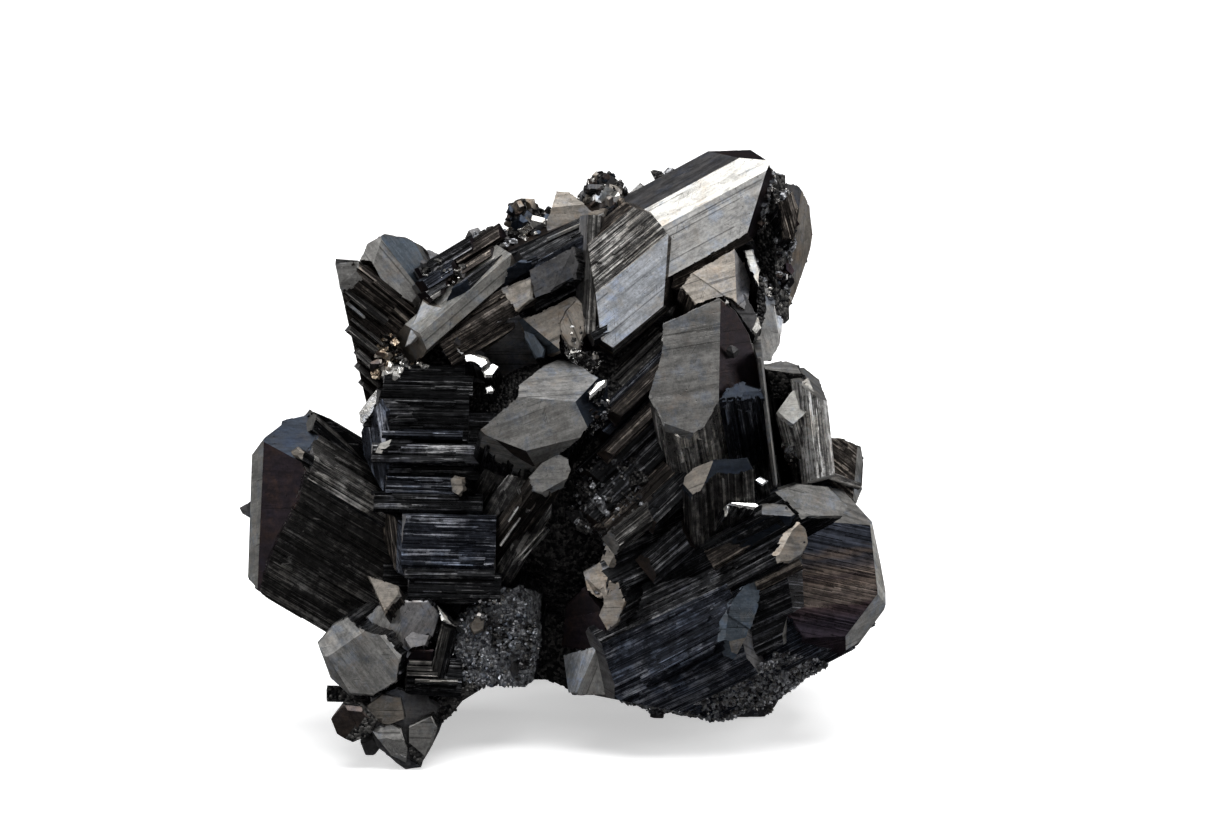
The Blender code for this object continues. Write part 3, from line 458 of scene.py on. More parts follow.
# %% The palette
BANDS = [(0.00, (0.022, 0.015, 0.020)), (0.18, (0.019, 0.015, 0.022)), (0.32, (0.034, 0.022, 0.024)),
         (0.35, (0.110, 0.088, 0.076)), (0.41, (0.058, 0.046, 0.042)), (0.45, (0.125, 0.102, 0.088)),
         (0.52, (0.110, 0.084, 0.070)), (0.56, (0.045, 0.034, 0.034)), (0.60, (0.105, 0.082, 0.068)),
         (0.65, (0.050, 0.042, 0.042)), (0.70, (0.026, 0.026, 0.032)), (0.74, (0.070, 0.054, 0.046)),
         (0.79, (0.022, 0.025, 0.034)), (1.00, (0.030, 0.034, 0.046))]
BAND_MIDDLE = place(83.0, 58.0, 8.0).x / MM
BAND_FOOT = place(80.0, 64.4, 9.0).z
BAND_TOP = place(84.0, 51.8, 7.5).z
PALETTE = [
    face_finish("grey_face", (0.25, 0.245, 0.235), (0.17, 0.145, 0.125), 0.40),
    # Painted light and shade: the silver and pale faces are lit copies of the grey face, painted
    # lighter for faces that catch the lamps, and the slate face is a shaded copy, painted darker for
    # faces turned from them.
    face_finish("silver_face", (0.41, 0.405, 0.395), (0.29, 0.26, 0.225), 0.38),
    face_finish("pale_face", (0.52, 0.51, 0.48), (0.40, 0.34, 0.275), 0.38),
    face_finish("warm_face", (0.29, 0.265, 0.235), (0.20, 0.145, 0.10), 0.42, 0.6),
    face_finish("slate_face", (0.11, 0.108, 0.11), (0.075, 0.064, 0.058), 0.45),
    face_finish("bronze_face", (0.046, 0.037, 0.034), (0.070, 0.046, 0.032), 0.38, 0.6),
    face_finish("steel_face", (0.34, 0.355, 0.38), (0.29, 0.265, 0.235), 0.38),
    face_finish("dusk_face", (0.105, 0.128, 0.155), (0.10, 0.095, 0.09), 0.42, 0.5),
    face_finish("blue_face", (0.021, 0.027, 0.038), (0.034, 0.034, 0.038), 0.40, 0.5),
    face_finish("violet_face", (0.018, 0.013, 0.017), (0.040, 0.022, 0.015), 0.42, 0.6),
    # Painted highlight: a near-white colour that stands in for the glint of a lamp mirrored by a face.
    face_finish("glint_face", (0.90, 0.88, 0.84), (0.80, 0.72, 0.60), 0.24, 0.3),
    banded_finish("banded_face", BAND_FOOT, BAND_TOP, BANDS, 0.34),
    striae_finish("black_striae", (0.016, 0.0165, 0.018), (0.210, 0.210, 0.215), (0.115, 0.118, 0.134),
                  0.34, 0.45),
    striae_finish("blue_striae", (0.015, 0.017, 0.023), (0.205, 0.213, 0.240), (0.105, 0.125, 0.168),
                  0.34, 0.5),
    striae_finish("brown_striae", (0.034, 0.029, 0.026), (0.245, 0.212, 0.180), (0.145, 0.128, 0.115),
                  0.37, 0.5),
    # Painted light: the grey and pale striae are lit copies of the black striae, painted lighter for
    # ribbed sides that face a lamp.
    striae_finish("grey_striae", (0.060, 0.058, 0.056), (0.38, 0.37, 0.355), (0.26, 0.245, 0.225),
                  0.38, 0.7),
    striae_finish("pale_striae", (0.18, 0.175, 0.17), (0.88, 0.86, 0.83), (0.70, 0.66, 0.60),
                  0.36, 0.95),
    crust_finish("dark_crust", (0.010, 0.010, 0.011), (0.15, 0.145, 0.138), 0.42, 0.32),
    crust_finish("grey_crust", (0.19, 0.195, 0.21), (0.70, 0.71, 0.74), 0.45, 0.32),
    # Painted highlight: near-white crumbs that stand in for sparks of lamp light on the crust.
    crust_finish("glint_crust", (0.30, 0.29, 0.28), (0.95, 0.92, 0.86), 0.20, 0.4),
    crust_finish("gold_crust", (0.20, 0.145, 0.10), (0.88, 0.74, 0.56), 0.30, 0.4),
]
SLOT_OF = {finish.name: number for number, finish in enumerate(PALETTE)}
print(len(PALETTE), "finishes")

# %% [markdown]
# ## One crystal
#
# A crystal is a prism: its section is drawn with a circle whose corners are moved, the circle is
# extruded along the crystal, and each end face is one bisect with its hole filled. Bisecting is how
# a real face works too, because a face is a plane that stopped the growth. The sides aren't left
# flat. Chalcocite's striae are the edges of thousands of thin sheets, so the long edges of the
# section are broken into flats of uneven width that stand a little in or out, with a narrow riser
# between them.

# %% Ledges
RISER = 0.035
FLAT_WIDTHS = (0.12, 0.75)
FIRST_FLATS = (0.15, 0.6)
LEDGE_DEPTH = 0.15
LEDGE_SLOPE = 0.3  # of a ledge's depth to its distance from the nearer corner


def ledges(start, end, inward, rng, depth):
    """The points that break one side of a section into flats with narrow risers between them."""
    run = (end - start).length / MM
    marks = [rng.uniform(*FIRST_FLATS)]
    low, high = FLAT_WIDTHS
    while marks[-1] < run - low:
        marks.append(marks[-1] + low * (high / low) ** rng.random())
    marks = [mark for mark in marks if mark < run - low]
    way = (end - start).normalized()
    points = [start]
    level = 0.0
    for mark in marks:
        before = max(0.0, level + rng.uniform(-0.03, 0.03))
        level = min(depth * rng.random() ** 1.6, LEDGE_SLOPE * mark, LEDGE_SLOPE * (run - mark))
        points.append(start + (way * (mark - RISER / 2) + inward * before) * MM)
        points.append(start + (way * (mark + RISER / 2) + inward * level) * MM)
    return points


def inwards(start, end, axis, middle):
    """The direction across an edge of a section that points to its middle."""
    side = axis.cross(end - start).normalized()
    return side if side.dot(middle - start) > 0 else -side


# %% Editing steps
SAME_SPOT = 1e-7  # metres between corners that count as one


def give_palette(mesh):
    """Hand a mesh all finishes, so that SLOT_OF numbers them."""
    for finish in PALETTE:
        mesh.materials.append(finish)


def slice_off(point, outward, threshold=1e-4):
    """Cut all beyond a plane off the mesh in Edit Mode, and close the cut with a face."""
    bpy.ops.mesh.select_all(action="SELECT")
    bpy.ops.mesh.bisect(plane_co=point, plane_no=outward, use_fill=True, clear_outer=True,
                        threshold=threshold)


def face_outwards():
    """Turn the faces of the mesh in Edit Mode to look out of it."""
    bpy.ops.mesh.select_all(action="SELECT")
    bpy.ops.mesh.normals_make_consistent(inside=False)


def pick(piece):
    """Select one object alone and make it the active one."""
    bpy.ops.object.select_all(action="DESELECT")
    bpy.context.view_layer.objects.active = piece
    piece.select_set(True)


# %% Prism
SIDE_TONES, END_TONES = 0.32, 0.08  # how far the tones of one crystal spread
LEVEL_WITH = 0.02  # a side's normal and the axis have a smaller product than this
SAME_WAY = 0.99999  # two directions with a larger product count as one


def prism(name, section, finishes, axis, low, high, cuts, lines=0.0, tone=0.5):
    """A closed crystal on the section, each of whose edges has a finish, from low to high along the
    axis, ended by each cut (point, outward, finish). It waits outside the scene, which keeps the edits
    of the next crystal quick, until its region is joined. lines and tone are as in chart."""
    rng = random.Random(name)
    middle = sum(section, Vector()) / len(section)
    outline, slots = [], []
    for start, end, finish in zip(section, section[1:] + section[:1], finishes):
        points = [start]
        if "striae" in finish:
            points = ledges(start, end, inwards(start, end, axis, middle), rng, LEDGE_DEPTH)
        outline += points
        slots += [SLOT_OF[finish]] * len(points)

    bpy.ops.object.select_all(action="DESELECT")
    bpy.ops.mesh.primitive_circle_add(vertices=len(outline), radius=MM, fill_type="NGON",
                                      location=(0, 0, 0))
    crystal = bpy.context.active_object
    crystal.name = crystal.data.name = name
    for vertex, point in zip(crystal.data.vertices, outline):
        vertex.co = point + axis * low
    bpy.ops.object.mode_set(mode="EDIT")
    bpy.ops.mesh.select_all(action="SELECT")
    bpy.ops.mesh.extrude_region_move(TRANSFORM_OT_translate={"value": axis * (high - low)})
    bpy.ops.object.mode_set(mode="OBJECT")
    give_palette(crystal.data)
    count = len(outline)
    for side in crystal.data.polygons:
        corners = sorted({corner % count for corner in side.vertices})
        if len(corners) == 2:
            side.material_index = slots[corners[1] if corners == [0, count - 1] else corners[0]]

    bpy.ops.object.mode_set(mode="EDIT")
    for point, outward, _ in cuts:
        slice_off(point, outward, SAME_SPOT)
    face_outwards()
    bpy.ops.mesh.select_all(action="DESELECT")
    bpy.ops.object.mode_set(mode="OBJECT")
    for face in crystal.data.polygons:
        for _, outward, finish in cuts:
            if face.normal.dot(outward) > SAME_WAY:
                face.material_index = SLOT_OF[finish]
    chart(crystal, axis, lines, tone, rng)
    bpy.context.scene.collection.objects.unlink(crystal)
    return crystal


def chart(crystal, axis, lines, tone, rng):
    """Give a crystal its UV map, across and along its growth in millimetres, and a tone for each flat.
    The growth lines of an end face slope down to the right of the board by lines, in degrees."""
    mesh = crystal.data
    growth = mesh.uv_layers.active or mesh.uv_layers.new()
    growth.name = "growth"
    sheet = random.Random(crystal.name).uniform(0.0, 500.0)
    slope = heading(cos(radians(lines)), sin(radians(lines)), 0.0)
    tones = mesh.attributes.new("tone", "FLOAT", "FACE")
    for face in mesh.polygons:
        on_side = abs(face.normal.dot(axis)) < LEVEL_WITH
        along = axis if on_side else (slope - face.normal * slope.dot(face.normal)).normalized()
        across = along.cross(face.normal).normalized()
        for corner in face.loop_indices:
            spot = mesh.vertices[mesh.loops[corner].vertex_index].co
            growth.data[corner].uv = (spot.dot(across) / MM + sheet, spot.dot(along) / MM)
        spread = SIDE_TONES if on_side else END_TONES
        tones.data[face.index].value = min(1.0, max(0.0, tone + spread * rng.uniform(-1, 1)))


# %% [markdown]
# ## Ribs
#
# The ledges run the whole length of a crystal, but many of the real sheets stop short, and their
# stopped ends are the little steps that catch the light on a striated side. So a rib, one thin bar
# with a bevelled back and a slanted end, is modelled once. Copies of it, each with its own mesh,
# are stretched along the sides, and they start and stop where chance puts them.

# %% The rib that is copied
bpy.ops.object.select_all(action="DESELECT")
bpy.ops.mesh.primitive_cube_add(size=1.0, location=(0, 0, 0))
rib_pattern = bpy.context.active_object
rib_pattern.name = "rib_pattern"
bpy.ops.object.mode_set(mode="EDIT")
bpy.ops.mesh.select_mode(type="EDGE")
bpy.ops.mesh.select_all(action="DESELECT")
bpy.ops.object.mode_set(mode="OBJECT")
for edge in rib_pattern.data.edges:
    first, last = [rib_pattern.data.vertices[corner].co for corner in edge.vertices]
    edge.select = first.y > 0 and last.y > 0 and abs(first.z - last.z) > 0.5
bpy.ops.object.mode_set(mode="EDIT")
bpy.ops.mesh.bevel(offset=0.22, segments=1)
for slope in (1.0, -1.0):
    slice_off((0.0, -0.1, 0.5 * slope), (0.1, 0.06, slope))
face_outwards()
bpy.ops.mesh.select_mode(type="VERT")
bpy.ops.object.mode_set(mode="OBJECT")
give_palette(rib_pattern.data)
print("a rib has", len(rib_pattern.data.polygons), "faces")

# %% Ribs along a side
RIB_SPACING = 1.25
RIB_WIDTHS = (0.16, 0.75)
RIB_HEIGHTS = (0.04, 0.18)
RIB_ROOT = 0.35
WALL_GAP = 0.25

growths = []


def ribs(name, start, end, axis, outward, tops, lengths, side, rng, tone, walls):
    """Copies of the rib on the side of a crystal from start to end, whose tops are distances along the
    axis at its two corners. None passes a wall, a (point, outward, finish)."""
    run = (end - start).length / MM
    for number in range(int(run / RIB_SPACING)):
        at = rng.uniform(0.08, 0.92)
        width = min(run * 0.5, rng.uniform(*RIB_WIDTHS))
        proud = rng.uniform(*RIB_HEIGHTS)
        long = rng.uniform(*lengths)
        top = tops[0] * (1 - at) + tops[1] * at - rng.uniform(0.0, 0.7) ** 2 * long * MM - 0.15 * MM
        middle = start + (end - start) * at + outward * (proud - RIB_ROOT) / 2 * MM
        middle += axis * (top - long * MM / 2)
        reached = [middle + axis * (half * long * MM / 2) for half in (-1, 1)]
        if any((spot - point).dot(beyond) > -WALL_GAP * MM
               for spot in reached for point, beyond, _ in walls):
            continue
        across = axis.cross(outward)
        sides = (across * width * MM, outward * (proud + RIB_ROOT) * MM, axis * long * MM)
        shape = Matrix(sides).transposed()
        mesh = rib_pattern.data.copy()
        mesh.transform(Matrix.Translation(middle) @ shape.to_4x4())
        mesh.name = f"{name}_rib_{number}"
        rib = bpy.data.objects.new(mesh.name, mesh)
        for face in mesh.polygons:
            face.material_index = SLOT_OF[side]
        chart(rib, axis, 0.0, tone, rng)
        growths.append(rib)


# %% [markdown]
# ## Stub and blade
#
# Two drawings are enough for every crystal. A *stub* is seen end-on: its end face is drawn, and
# folds bend that face back. Growth hardly ever stops on one sheet, so a thin terrace or two stand
# on the end face, and narrow bevels take the sharpness off its rim. A *blade* is seen from the
# side: it has a centre line, a section about it and a cut at each end.

# %% Stub
RIM_WIDTHS = (0.03, 0.20)
END_ROOM = 6.0  # from the end face out to where the prism starts before it is cut
TERRACE_RISES = (0.05, 0.14)
TERRACE_SHRINKS = (0.975, 0.992)
TERRACE_WIDTH = 3.0  # narrower end faces have none
TERRACE_SHORTER = 3.0
STUB_RIBS = (2.0, 9.0)
STRAIGHT = 0.05  # slack of a corner on the wrong side of a hull's edge


def on_hull(outline, first, last):
    """True if the edge between two corners of an outline has the whole outline on one side."""
    (a_across, a_down), (b_across, b_down) = outline[first], outline[last]
    run = hypot(b_across - a_across, b_down - a_down)
    sides = [
        ((b_across - a_across) * (down - a_down) - (b_down - a_down) * (across - a_across)) / run
        for across, down in outline
    ]
    return max(sides) < STRAIGHT or min(sides) > -STRAIGHT


def stub(name, outline, near, lean, axis, length, folds=(), trims=(), facing=1, face="grey_face",
         fold_faces=(), side="black_striae", lines=0.0, tone=0.5, terraces=1):
    """A crystal seen end-on. outline is its end face as drawn, near is the depth of the outline's
    middle, lean is how fast the face comes nearer per mm across and per mm down, and each fold
    (p, q, steepness) bends the face back beyond the line from p to q."""
    rng = random.Random(name + " details")
    middle = [sum(values) / len(outline) for values in zip(*outline)]
    faces = [(lean[0], lean[1], near - lean[0] * middle[0] - lean[1] * middle[1])]
    for (p_across, p_down), (q_across, q_down), steepness in folds:
        run = hypot(q_across - p_across, q_down - p_down)
        out = [(q_down - p_down) / run, (p_across - q_across) / run]
        if out[0] * (middle[0] - p_across) + out[1] * (middle[1] - p_down) > 0:
            out = [-out[0], -out[1]]
        slope = [lean[0] - steepness * out[0], lean[1] - steepness * out[1]]
        at_fold = faces[0][2] + lean[0] * p_across + lean[1] * p_down
        faces.append((*slope, at_fold - slope[0] * p_across - slope[1] * p_down))
    skins = [face, *fold_faces, *[face] * len(folds)][: len(faces)]

    corners = [
        place(across, down, facing * min(a * across + d * down + c for a, d, c in faces))
        for across, down in outline
    ]
    along = heading(axis[0], axis[1], facing * axis[2])
    section = [corner - along * corner.dot(along) for corner in corners]
    reach = [corner.dot(along) for corner in corners]
    heart_line = sum(section, Vector()) / len(section)
    breaks = [(place(*point), heading(*outward), "dark_crust") for point, outward in trims]

    def end_cuts(rise):
        return [
            (place(0, 0, facing * (c + rise)), heading(-a, -d, facing), skin)
            for (a, d, c), skin in zip(faces, skins)
        ]

    cuts = end_cuts(0.0) + breaks
    low, high = min(reach) - END_ROOM * MM, max(reach) + length * MM
    for first in range(len(outline)):
        last = (first + 1) % len(outline)
        start, end = section[first], section[last]
        out = -inwards(start, end, along, heart_line)
        if on_hull(outline, first, last):
            edge = (corners[last] - corners[first]).normalized()
            spot = [(outline[first][k] + outline[last][k]) / 2 for k in (0, 1)]
            a, d, _ = min(faces, key=lambda plane: plane[0] * spot[0] + plane[1] * spot[1] + plane[2])
            bevel = heading(-a, -d, facing) * rng.uniform(0.5, 1.0) + out * rng.uniform(0.4, 1.0)
            bevel = (bevel - edge * bevel.dot(edge)).normalized()
            depth = rng.uniform(*RIM_WIDTHS) * MM
            cuts.append(((corners[first] + corners[last]) / 2 - bevel * depth, bevel, face))
        if "striae" in side:
            tops = [-reach[first], -reach[last]]
            ribs(f"{name}_{first}", start, end, -along, out, tops, STUB_RIBS, side, rng, tone, breaks)
    growths.append(prism(name, section, [side] * len(section), along, low, high, cuts, lines, tone))

    reach_across = max(across for across, _ in outline) - min(across for across, _ in outline)
    for number in range(terraces if reach_across > TERRACE_WIDTH else 0):
        shrink = rng.uniform(*TERRACE_SHRINKS)
        smaller = [heart_line + (point - heart_line) * shrink for point in section]
        turn = rng.uniform(0, 2 * pi)
        spot = [middle[0] + rng.uniform(-0.15, 0.25) * reach_across * cos(turn),
                middle[1] + rng.uniform(-0.15, 0.25) * reach_across * sin(turn)]
        split = (place(*spot, facing * near), heading(cos(turn), sin(turn), 0.0), face)
        raised = end_cuts(rng.uniform(*TERRACE_RISES)) + breaks + [split]
        growths.append(prism(f"{name}_terrace_{number}", smaller, [side] * len(section), along, low,
                             high - TERRACE_SHORTER * MM, raised, lines,
                             tone + rng.uniform(-0.10, 0.10)))


# %% Blade
BLADE_RIBS = (0.12, 0.7)  # of the blade's length
RIB_STOP = 0.93  # of the blade's length, where its ribs end at the latest


def blade(name, start, end, section, ends=(), trims=(), sides=("black_striae",), end_face="grey_face",
          lines=0.0, tone=0.5):
    """A crystal seen from the side. start and end are its centre line, section is drawn as (up, near)
    about that line, and each cut in ends and trims is (point, outward) on the board. sides are the
    finishes of the section's edges, the last one repeated."""
    rng = random.Random(name + " details")
    first, last = place(*start), place(*end)
    along = (last - first).normalized()
    side = along.cross(heading(0, 0, 1))
    if side.dot(heading(0, -1, 0)) < 0:
        side.negate()
    side.normalize()
    near = along.cross(side)
    if near.dot(heading(0, 0, 1)) < 0:
        near.negate()
    points = [first + (side * up + near * out) * MM for up, out in section]
    origin, span = first.dot(along), (last - first).length
    points = [point - along * origin for point in points]
    finishes = [*sides, *[sides[-1]] * len(section)][: len(section)]
    cuts = [(place(*point), heading(*outward), end_face) for point, outward in ends]
    cuts += [(place(*point), heading(*outward), "dark_crust") for point, outward in trims]
    heart_line = sum(points, Vector()) / len(points)
    for number, finish in enumerate(finishes):
        here, there = points[number], points[(number + 1) % len(points)]
        if "striae" in finish:
            out = -inwards(here, there, along, heart_line)
            longs = [share * span / MM for share in BLADE_RIBS]
            tops = [origin + span * RIB_STOP] * 2
            ribs(f"{name}_{number}", here, there, along, out, tops, longs, finish, rng, tone, cuts)
    growths.append(prism(name, points, finishes, along, origin, origin + span, cuts, lines, tone))


# %% [markdown]
# ## Growing together
#
# Intergrown crystals share one body, so the crystals of each region are joined by a Boolean modifier.
# Its Manifold solver joins hundreds of closed prisms in a moment and keeps their finishes and UV maps.
# What passes below the floor or outside the solid's box is cut off flat, as a broken base is.

# %% Uniting a region
PAST_BOX = 1e-6  # metres that a region may stick out of the box


def unite(name):
    """Join all growths made since the last call to one closed piece, trimmed to the solid's box."""
    crystals = list(growths)
    growths.clear()
    piece = crystals[0]
    bpy.context.scene.collection.objects.link(piece)
    joining = bpy.data.collections.new(name)
    bpy.context.scene.collection.children.link(joining)
    for crystal in crystals[1:]:
        joining.objects.link(crystal)
    join = piece.modifiers.new("join", "BOOLEAN")
    join.operation = "UNION"
    join.operand_type = "COLLECTION"
    join.collection = joining
    join.solver = "MANIFOLD"
    pick(piece)
    bpy.ops.object.modifier_apply(modifier="join")
    bpy.data.batch_remove([*crystals[1:], joining])
    piece.name = piece.data.name = name

    spots = np.array([vertex.co for vertex in piece.data.vertices])
    bpy.ops.object.mode_set(mode="EDIT")
    for axis in range(3):
        for limit, sign in ((cad_low[axis], -1), (cad_high[axis], 1)):
            if (sign * (spots[:, axis] - limit)).max() > PAST_BOX:
                wall, outward = [0.0, 0.0, 0.0], [0.0, 0.0, 0.0]
                wall[axis], outward[axis] = limit, sign
                slice_off(wall, outward, SAME_SPOT)
    bpy.ops.mesh.select_all(action="DESELECT")
    bpy.ops.object.mode_set(mode="OBJECT")
    bpy.ops.object.material_slot_remove_unused()
    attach(piece, "root")
    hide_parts("chalcocite_cluster")
    piece.data.calc_loop_triangles()
    print(f"{name}: {len(crystals)} growths, {len(piece.data.loop_triangles)} triangles")


# %% [markdown]
# ## The lower right
#
# The broadest crystals are bundles that run up to the right. The bundle at the front ends in a large
# six-sided face that is banded bronze, violet and blue, with bevels above it and on its right painted
# grey, pale and silver, light painted where they face the lamps.

# %% Lower right
RUN_BACK = (-0.86, 0.46, -0.30)
BROKEN_UNDER = [((65.0, 70.6, 0.0), (-0.19, 0.98, 0.03)), ((79.0, 68.6, 0.0), (0.51, 0.86, -0.05)),
                ((61.5, 69.0, 0.0), (-0.85, 0.30, 0.20))]
stub("broad_end", [(77.5, 48.6), (79.5, 48.0), (84.0, 48.7), (86.2, 51.0), (87.8, 55.2), (88.5, 59.0),
                   (88.3, 61.2), (86.0, 64.2), (84.2, 65.2), (80.2, 63.8), (78.4, 61.0), (79.6, 56.4),
                   (79.2, 51.4)],
     near=8.5, lean=(-0.62, 0.05), axis=RUN_BACK, length=26, trims=BROKEN_UNDER,
     folds=[((80.5, 51.9), (86.4, 52.4), 1.6), ((87.2, 55.6), (87.6, 59.2), 2.2),
            ((87.5, 59.4), (84.2, 63.6), 1.2)], face="banded_face",
     fold_faces=("grey_face", "pale_face", "silver_face"), side="blue_striae", lines=8.0, tone=0.75,
     terraces=0)
stub("cap_crust", [(77.6, 48.9), (79.6, 48.2), (82.6, 48.5), (84.6, 50.4), (84.0, 51.6), (80.2, 51.6)],
     near=11.4, lean=(-0.55, 0.75), axis=RUN_BACK, length=8, tone=0.16, terraces=0)
blade("striped_front", (74.4, 61.0, 11.2), (59.0, 68.4, 8.0),
      [(5.4, 0.8), (3.4, 2.4), (-0.8, 3.2), (-4.0, 2.4), (-6.0, 0.0), (-5.0, -8), (3.0, -8)],
      ends=[((74.2, 61.0, 12.5), (0.90, -0.12, 0.40)), ((61.0, 66.5, 11.5), (-0.80, 0.18, 0.45))],
      trims=BROKEN_UNDER[:2], sides=("black_striae", "blue_striae", "blue_striae"),
      end_face="slate_face", tone=0.85)
blade("dark_upper", (80.0, 53.4, 10.6), (60.0, 62.6, 7.6),
      [(3.6, -1.5), (2.2, 1.6), (-1.8, 2.8), (-6.5, 2.2), (-6.5, -8), (3.0, -8)],
      ends=[((78.5, 54.5, 12.5), (0.84, -0.05, 0.55)), ((62.2, 60.5, 10.0), (-0.8, 0.1, 0.55))],
      sides=("blue_striae", "black_striae"), end_face="black_striae")
blade("light_bars", (77.0, 52.2, 12.6), (70.8, 55.8, 12.2),
      [(1.0, 0.0), (0.5, 0.5), (-0.8, 0.6), (-1.2, 0.0), (-0.8, -3), (0.8, -3)],
      ends=[((76.4, 52.6, 13.0), (0.9, -0.1, 0.4))], sides=("brown_striae",), tone=0.75)
blade("under_bars", (79.6, 55.6, 13.0), (74.4, 58.2, 13.0),
      [(0.9, 0.0), (0.4, 0.5), (-0.8, 0.5), (-1.2, 0.0), (-0.8, -3), (0.8, -3)],
      ends=[((75.0, 58.0, 13.0), (-0.8, 0.3, 0.5))], sides=("brown_striae",), tone=0.8)
blade("front_ledge", (80.6, 60.6, 10.6), (67.5, 66.8, 9.8),
      [(2.2, 0.0), (1.4, 1.0), (-1.2, 1.2), (-2.2, 0.4), (-1.8, -6), (2.0, -6)],
      ends=[((78.8, 61.0, 11.0), (0.85, 0.2, 0.4))], trims=BROKEN_UNDER[:2], tone=0.6)
blade("keel_bundle", (81.0, 65.4, 3.6), (65.5, 70.6, 1.0),
      [(3.2, 1.2), (0.2, 2.4), (-2.4, 1.2), (-3.4, -2.0), (-1.0, -9), (3.0, -9)],
      ends=[((80.4, 66.4, 4.0), (0.8, 0.5, 0.2))], trims=BROKEN_UNDER[:2], sides=("dark_crust",))
stub("keel", [(70.6, 68.0), (76.0, 66.5), (78.9, 68.6), (77.6, 70.9), (76.2, 72.3), (71.9, 72.8),
              (70.4, 71.2)],
     near=-5.5, lean=(0.0, -0.3), axis=(-0.15, -0.25, -0.95), length=9, face="slate_face",
     side="dark_crust")
stub("blue_knob", [(75.8, 50.3), (78.3, 50.0), (79.4, 51.2), (78.8, 52.4), (77.6, 53.2), (76.2, 52.6),
                   (75.7, 51.4)],
     near=14.4, lean=(0.1, -0.35), axis=RUN_BACK, length=12, folds=[((75.8, 51.3), (79.3, 51.5), 2.0)],
     face="blue_face", fold_faces=("grey_face",))
stub("brown_step", [(79.6, 51.9), (80.3, 52.7), (80.6, 54.2), (80.0, 55.3), (78.8, 56.0), (77.6, 56.0),
                    (77.3, 55.0), (78.4, 53.0)],
     near=14.4, lean=(-0.35, 0.25), axis=RUN_BACK, length=12, face="warm_face", tone=0.28, terraces=0)
stub("crescent", [(72.0, 63.6), (72.2, 61.6), (72.8, 59.9), (74.0, 58.4), (75.3, 57.6), (75.8, 58.4),
                  (75.5, 60.4), (74.9, 62.2), (74.2, 63.8), (73.6, 65.4), (72.7, 65.0)],
     near=14.0, lean=(-0.45, 0.05), axis=RUN_BACK, length=9, folds=[((72.0, 63.9), (74.4, 63.4), 0.5)],
     face="dusk_face", fold_faces=("warm_face",), side="blue_striae", tone=0.55)
stub("left_end", [(58.2, 57.0), (59.8, 56.1), (60.6, 57.6), (60.8, 59.4), (59.9, 59.7), (58.6, 58.8)],
     near=11.2, lean=(0.5, 0.2), axis=(0.85, -0.4, -0.35), length=14, face="warm_face", tone=0.55,
     terraces=0)
stub("left_end_low", [(60.0, 58.6), (60.8, 57.8), (61.8, 58.1), (62.5, 60.0), (61.7, 62.2),
                      (60.8, 62.9), (59.9, 61.3), (60.4, 60.0)],
     near=12.2, lean=(0.1, 0.3), axis=(0.6, -0.35, -0.72), length=6, face="warm_face", tone=0.30,
     terraces=0)
stub("left_blue_face", [(58.2, 58.6), (60.0, 60.2), (60.7, 63.0), (59.6, 64.9), (56.2, 64.6),
                        (56.6, 60.2)],
     near=8.6, lean=(0.9, -0.1), axis=(0.7, -0.2, -0.7), length=14, face="violet_face", tone=0.2)
stub("left_foot", [(56.2, 65.4), (59.4, 64.4), (60.6, 63.0), (61.6, 63.9), (61.5, 66.4), (60.6, 69.2),
                   (58.0, 69.3), (56.7, 69.0)],
     near=9.4, lean=(0.35, -0.1), axis=(0.75, -0.1, -0.65), length=14,
     folds=[((59.8, 64.2), (57.6, 69.3), 0.8)], fold_faces=("steel_face",), lines=-65.0, tone=1.0)
stub("under_left_foot", [(59.8, 56.2), (60.4, 54.4), (61.4, 53.2), (62.0, 54.2), (61.2, 56.4),
                         (60.4, 57.8)],
     near=10.8, lean=(0.5, 0.1), axis=(0.85, -0.4, -0.35), length=8, face="warm_face")
blade("fibre_block", (60.8, 54.4, 12.4), (65.4, 50.8, 12.2),
      [(1.1, 0.0), (0.6, 0.6), (-0.7, 0.7), (-1.2, 0.0), (-0.8, -4), (0.8, -4)],
      ends=[((64.9, 51.0, 12.6), (0.8, -0.4, 0.4)), ((61.4, 54.0, 12.6), (-0.7, 0.3, 0.6))],
      sides=("grey_striae",), tone=0.4)
blade("fibre_end", (64.4, 57.0, 11.6), (69.4, 52.8, 12.0),
      [(1.6, 0.0), (0.8, 0.8), (-0.9, 0.9), (-1.6, 0.0), (-1.2, -4), (1.2, -4)],
      ends=[((68.4, 53.2, 12.6), (0.8, -0.4, 0.4)), ((65.2, 56.2, 12.6), (-0.7, 0.3, 0.6))],
      end_face="bronze_face")
# Painted highlights: these two small faces are painted near white and pale to stand in for a glint of
# lamp light.
stub("white_glint", [(72.6, 50.2), (73.0, 49.9), (75.2, 50.0), (75.7, 50.4), (75.2, 50.7),
                     (73.9, 50.5)],
     near=14.6, lean=(0.05, 0.55), axis=(-0.3, 0.5, -0.8), length=5, face="glint_face", tone=0.7,
     terraces=0)
stub("glint_edge", [(72.4, 51.4), (72.2, 50.6), (72.6, 50.2), (72.9, 50.4), (72.6, 51.3)],
     near=14.4, lean=(0.05, 0.55), axis=(-0.3, 0.5, -0.8), length=4, face="pale_face", tone=0.7,
     terraces=0)
unite("lower_right_crystals")

# %% [markdown]
# ## Right of the middle
#
# The upright crystal has the broadest grey end. Its right-hand bevel is violet, and its foot is
# striated. Dark prisms run up to the right behind it, and two small ones stand at its right.

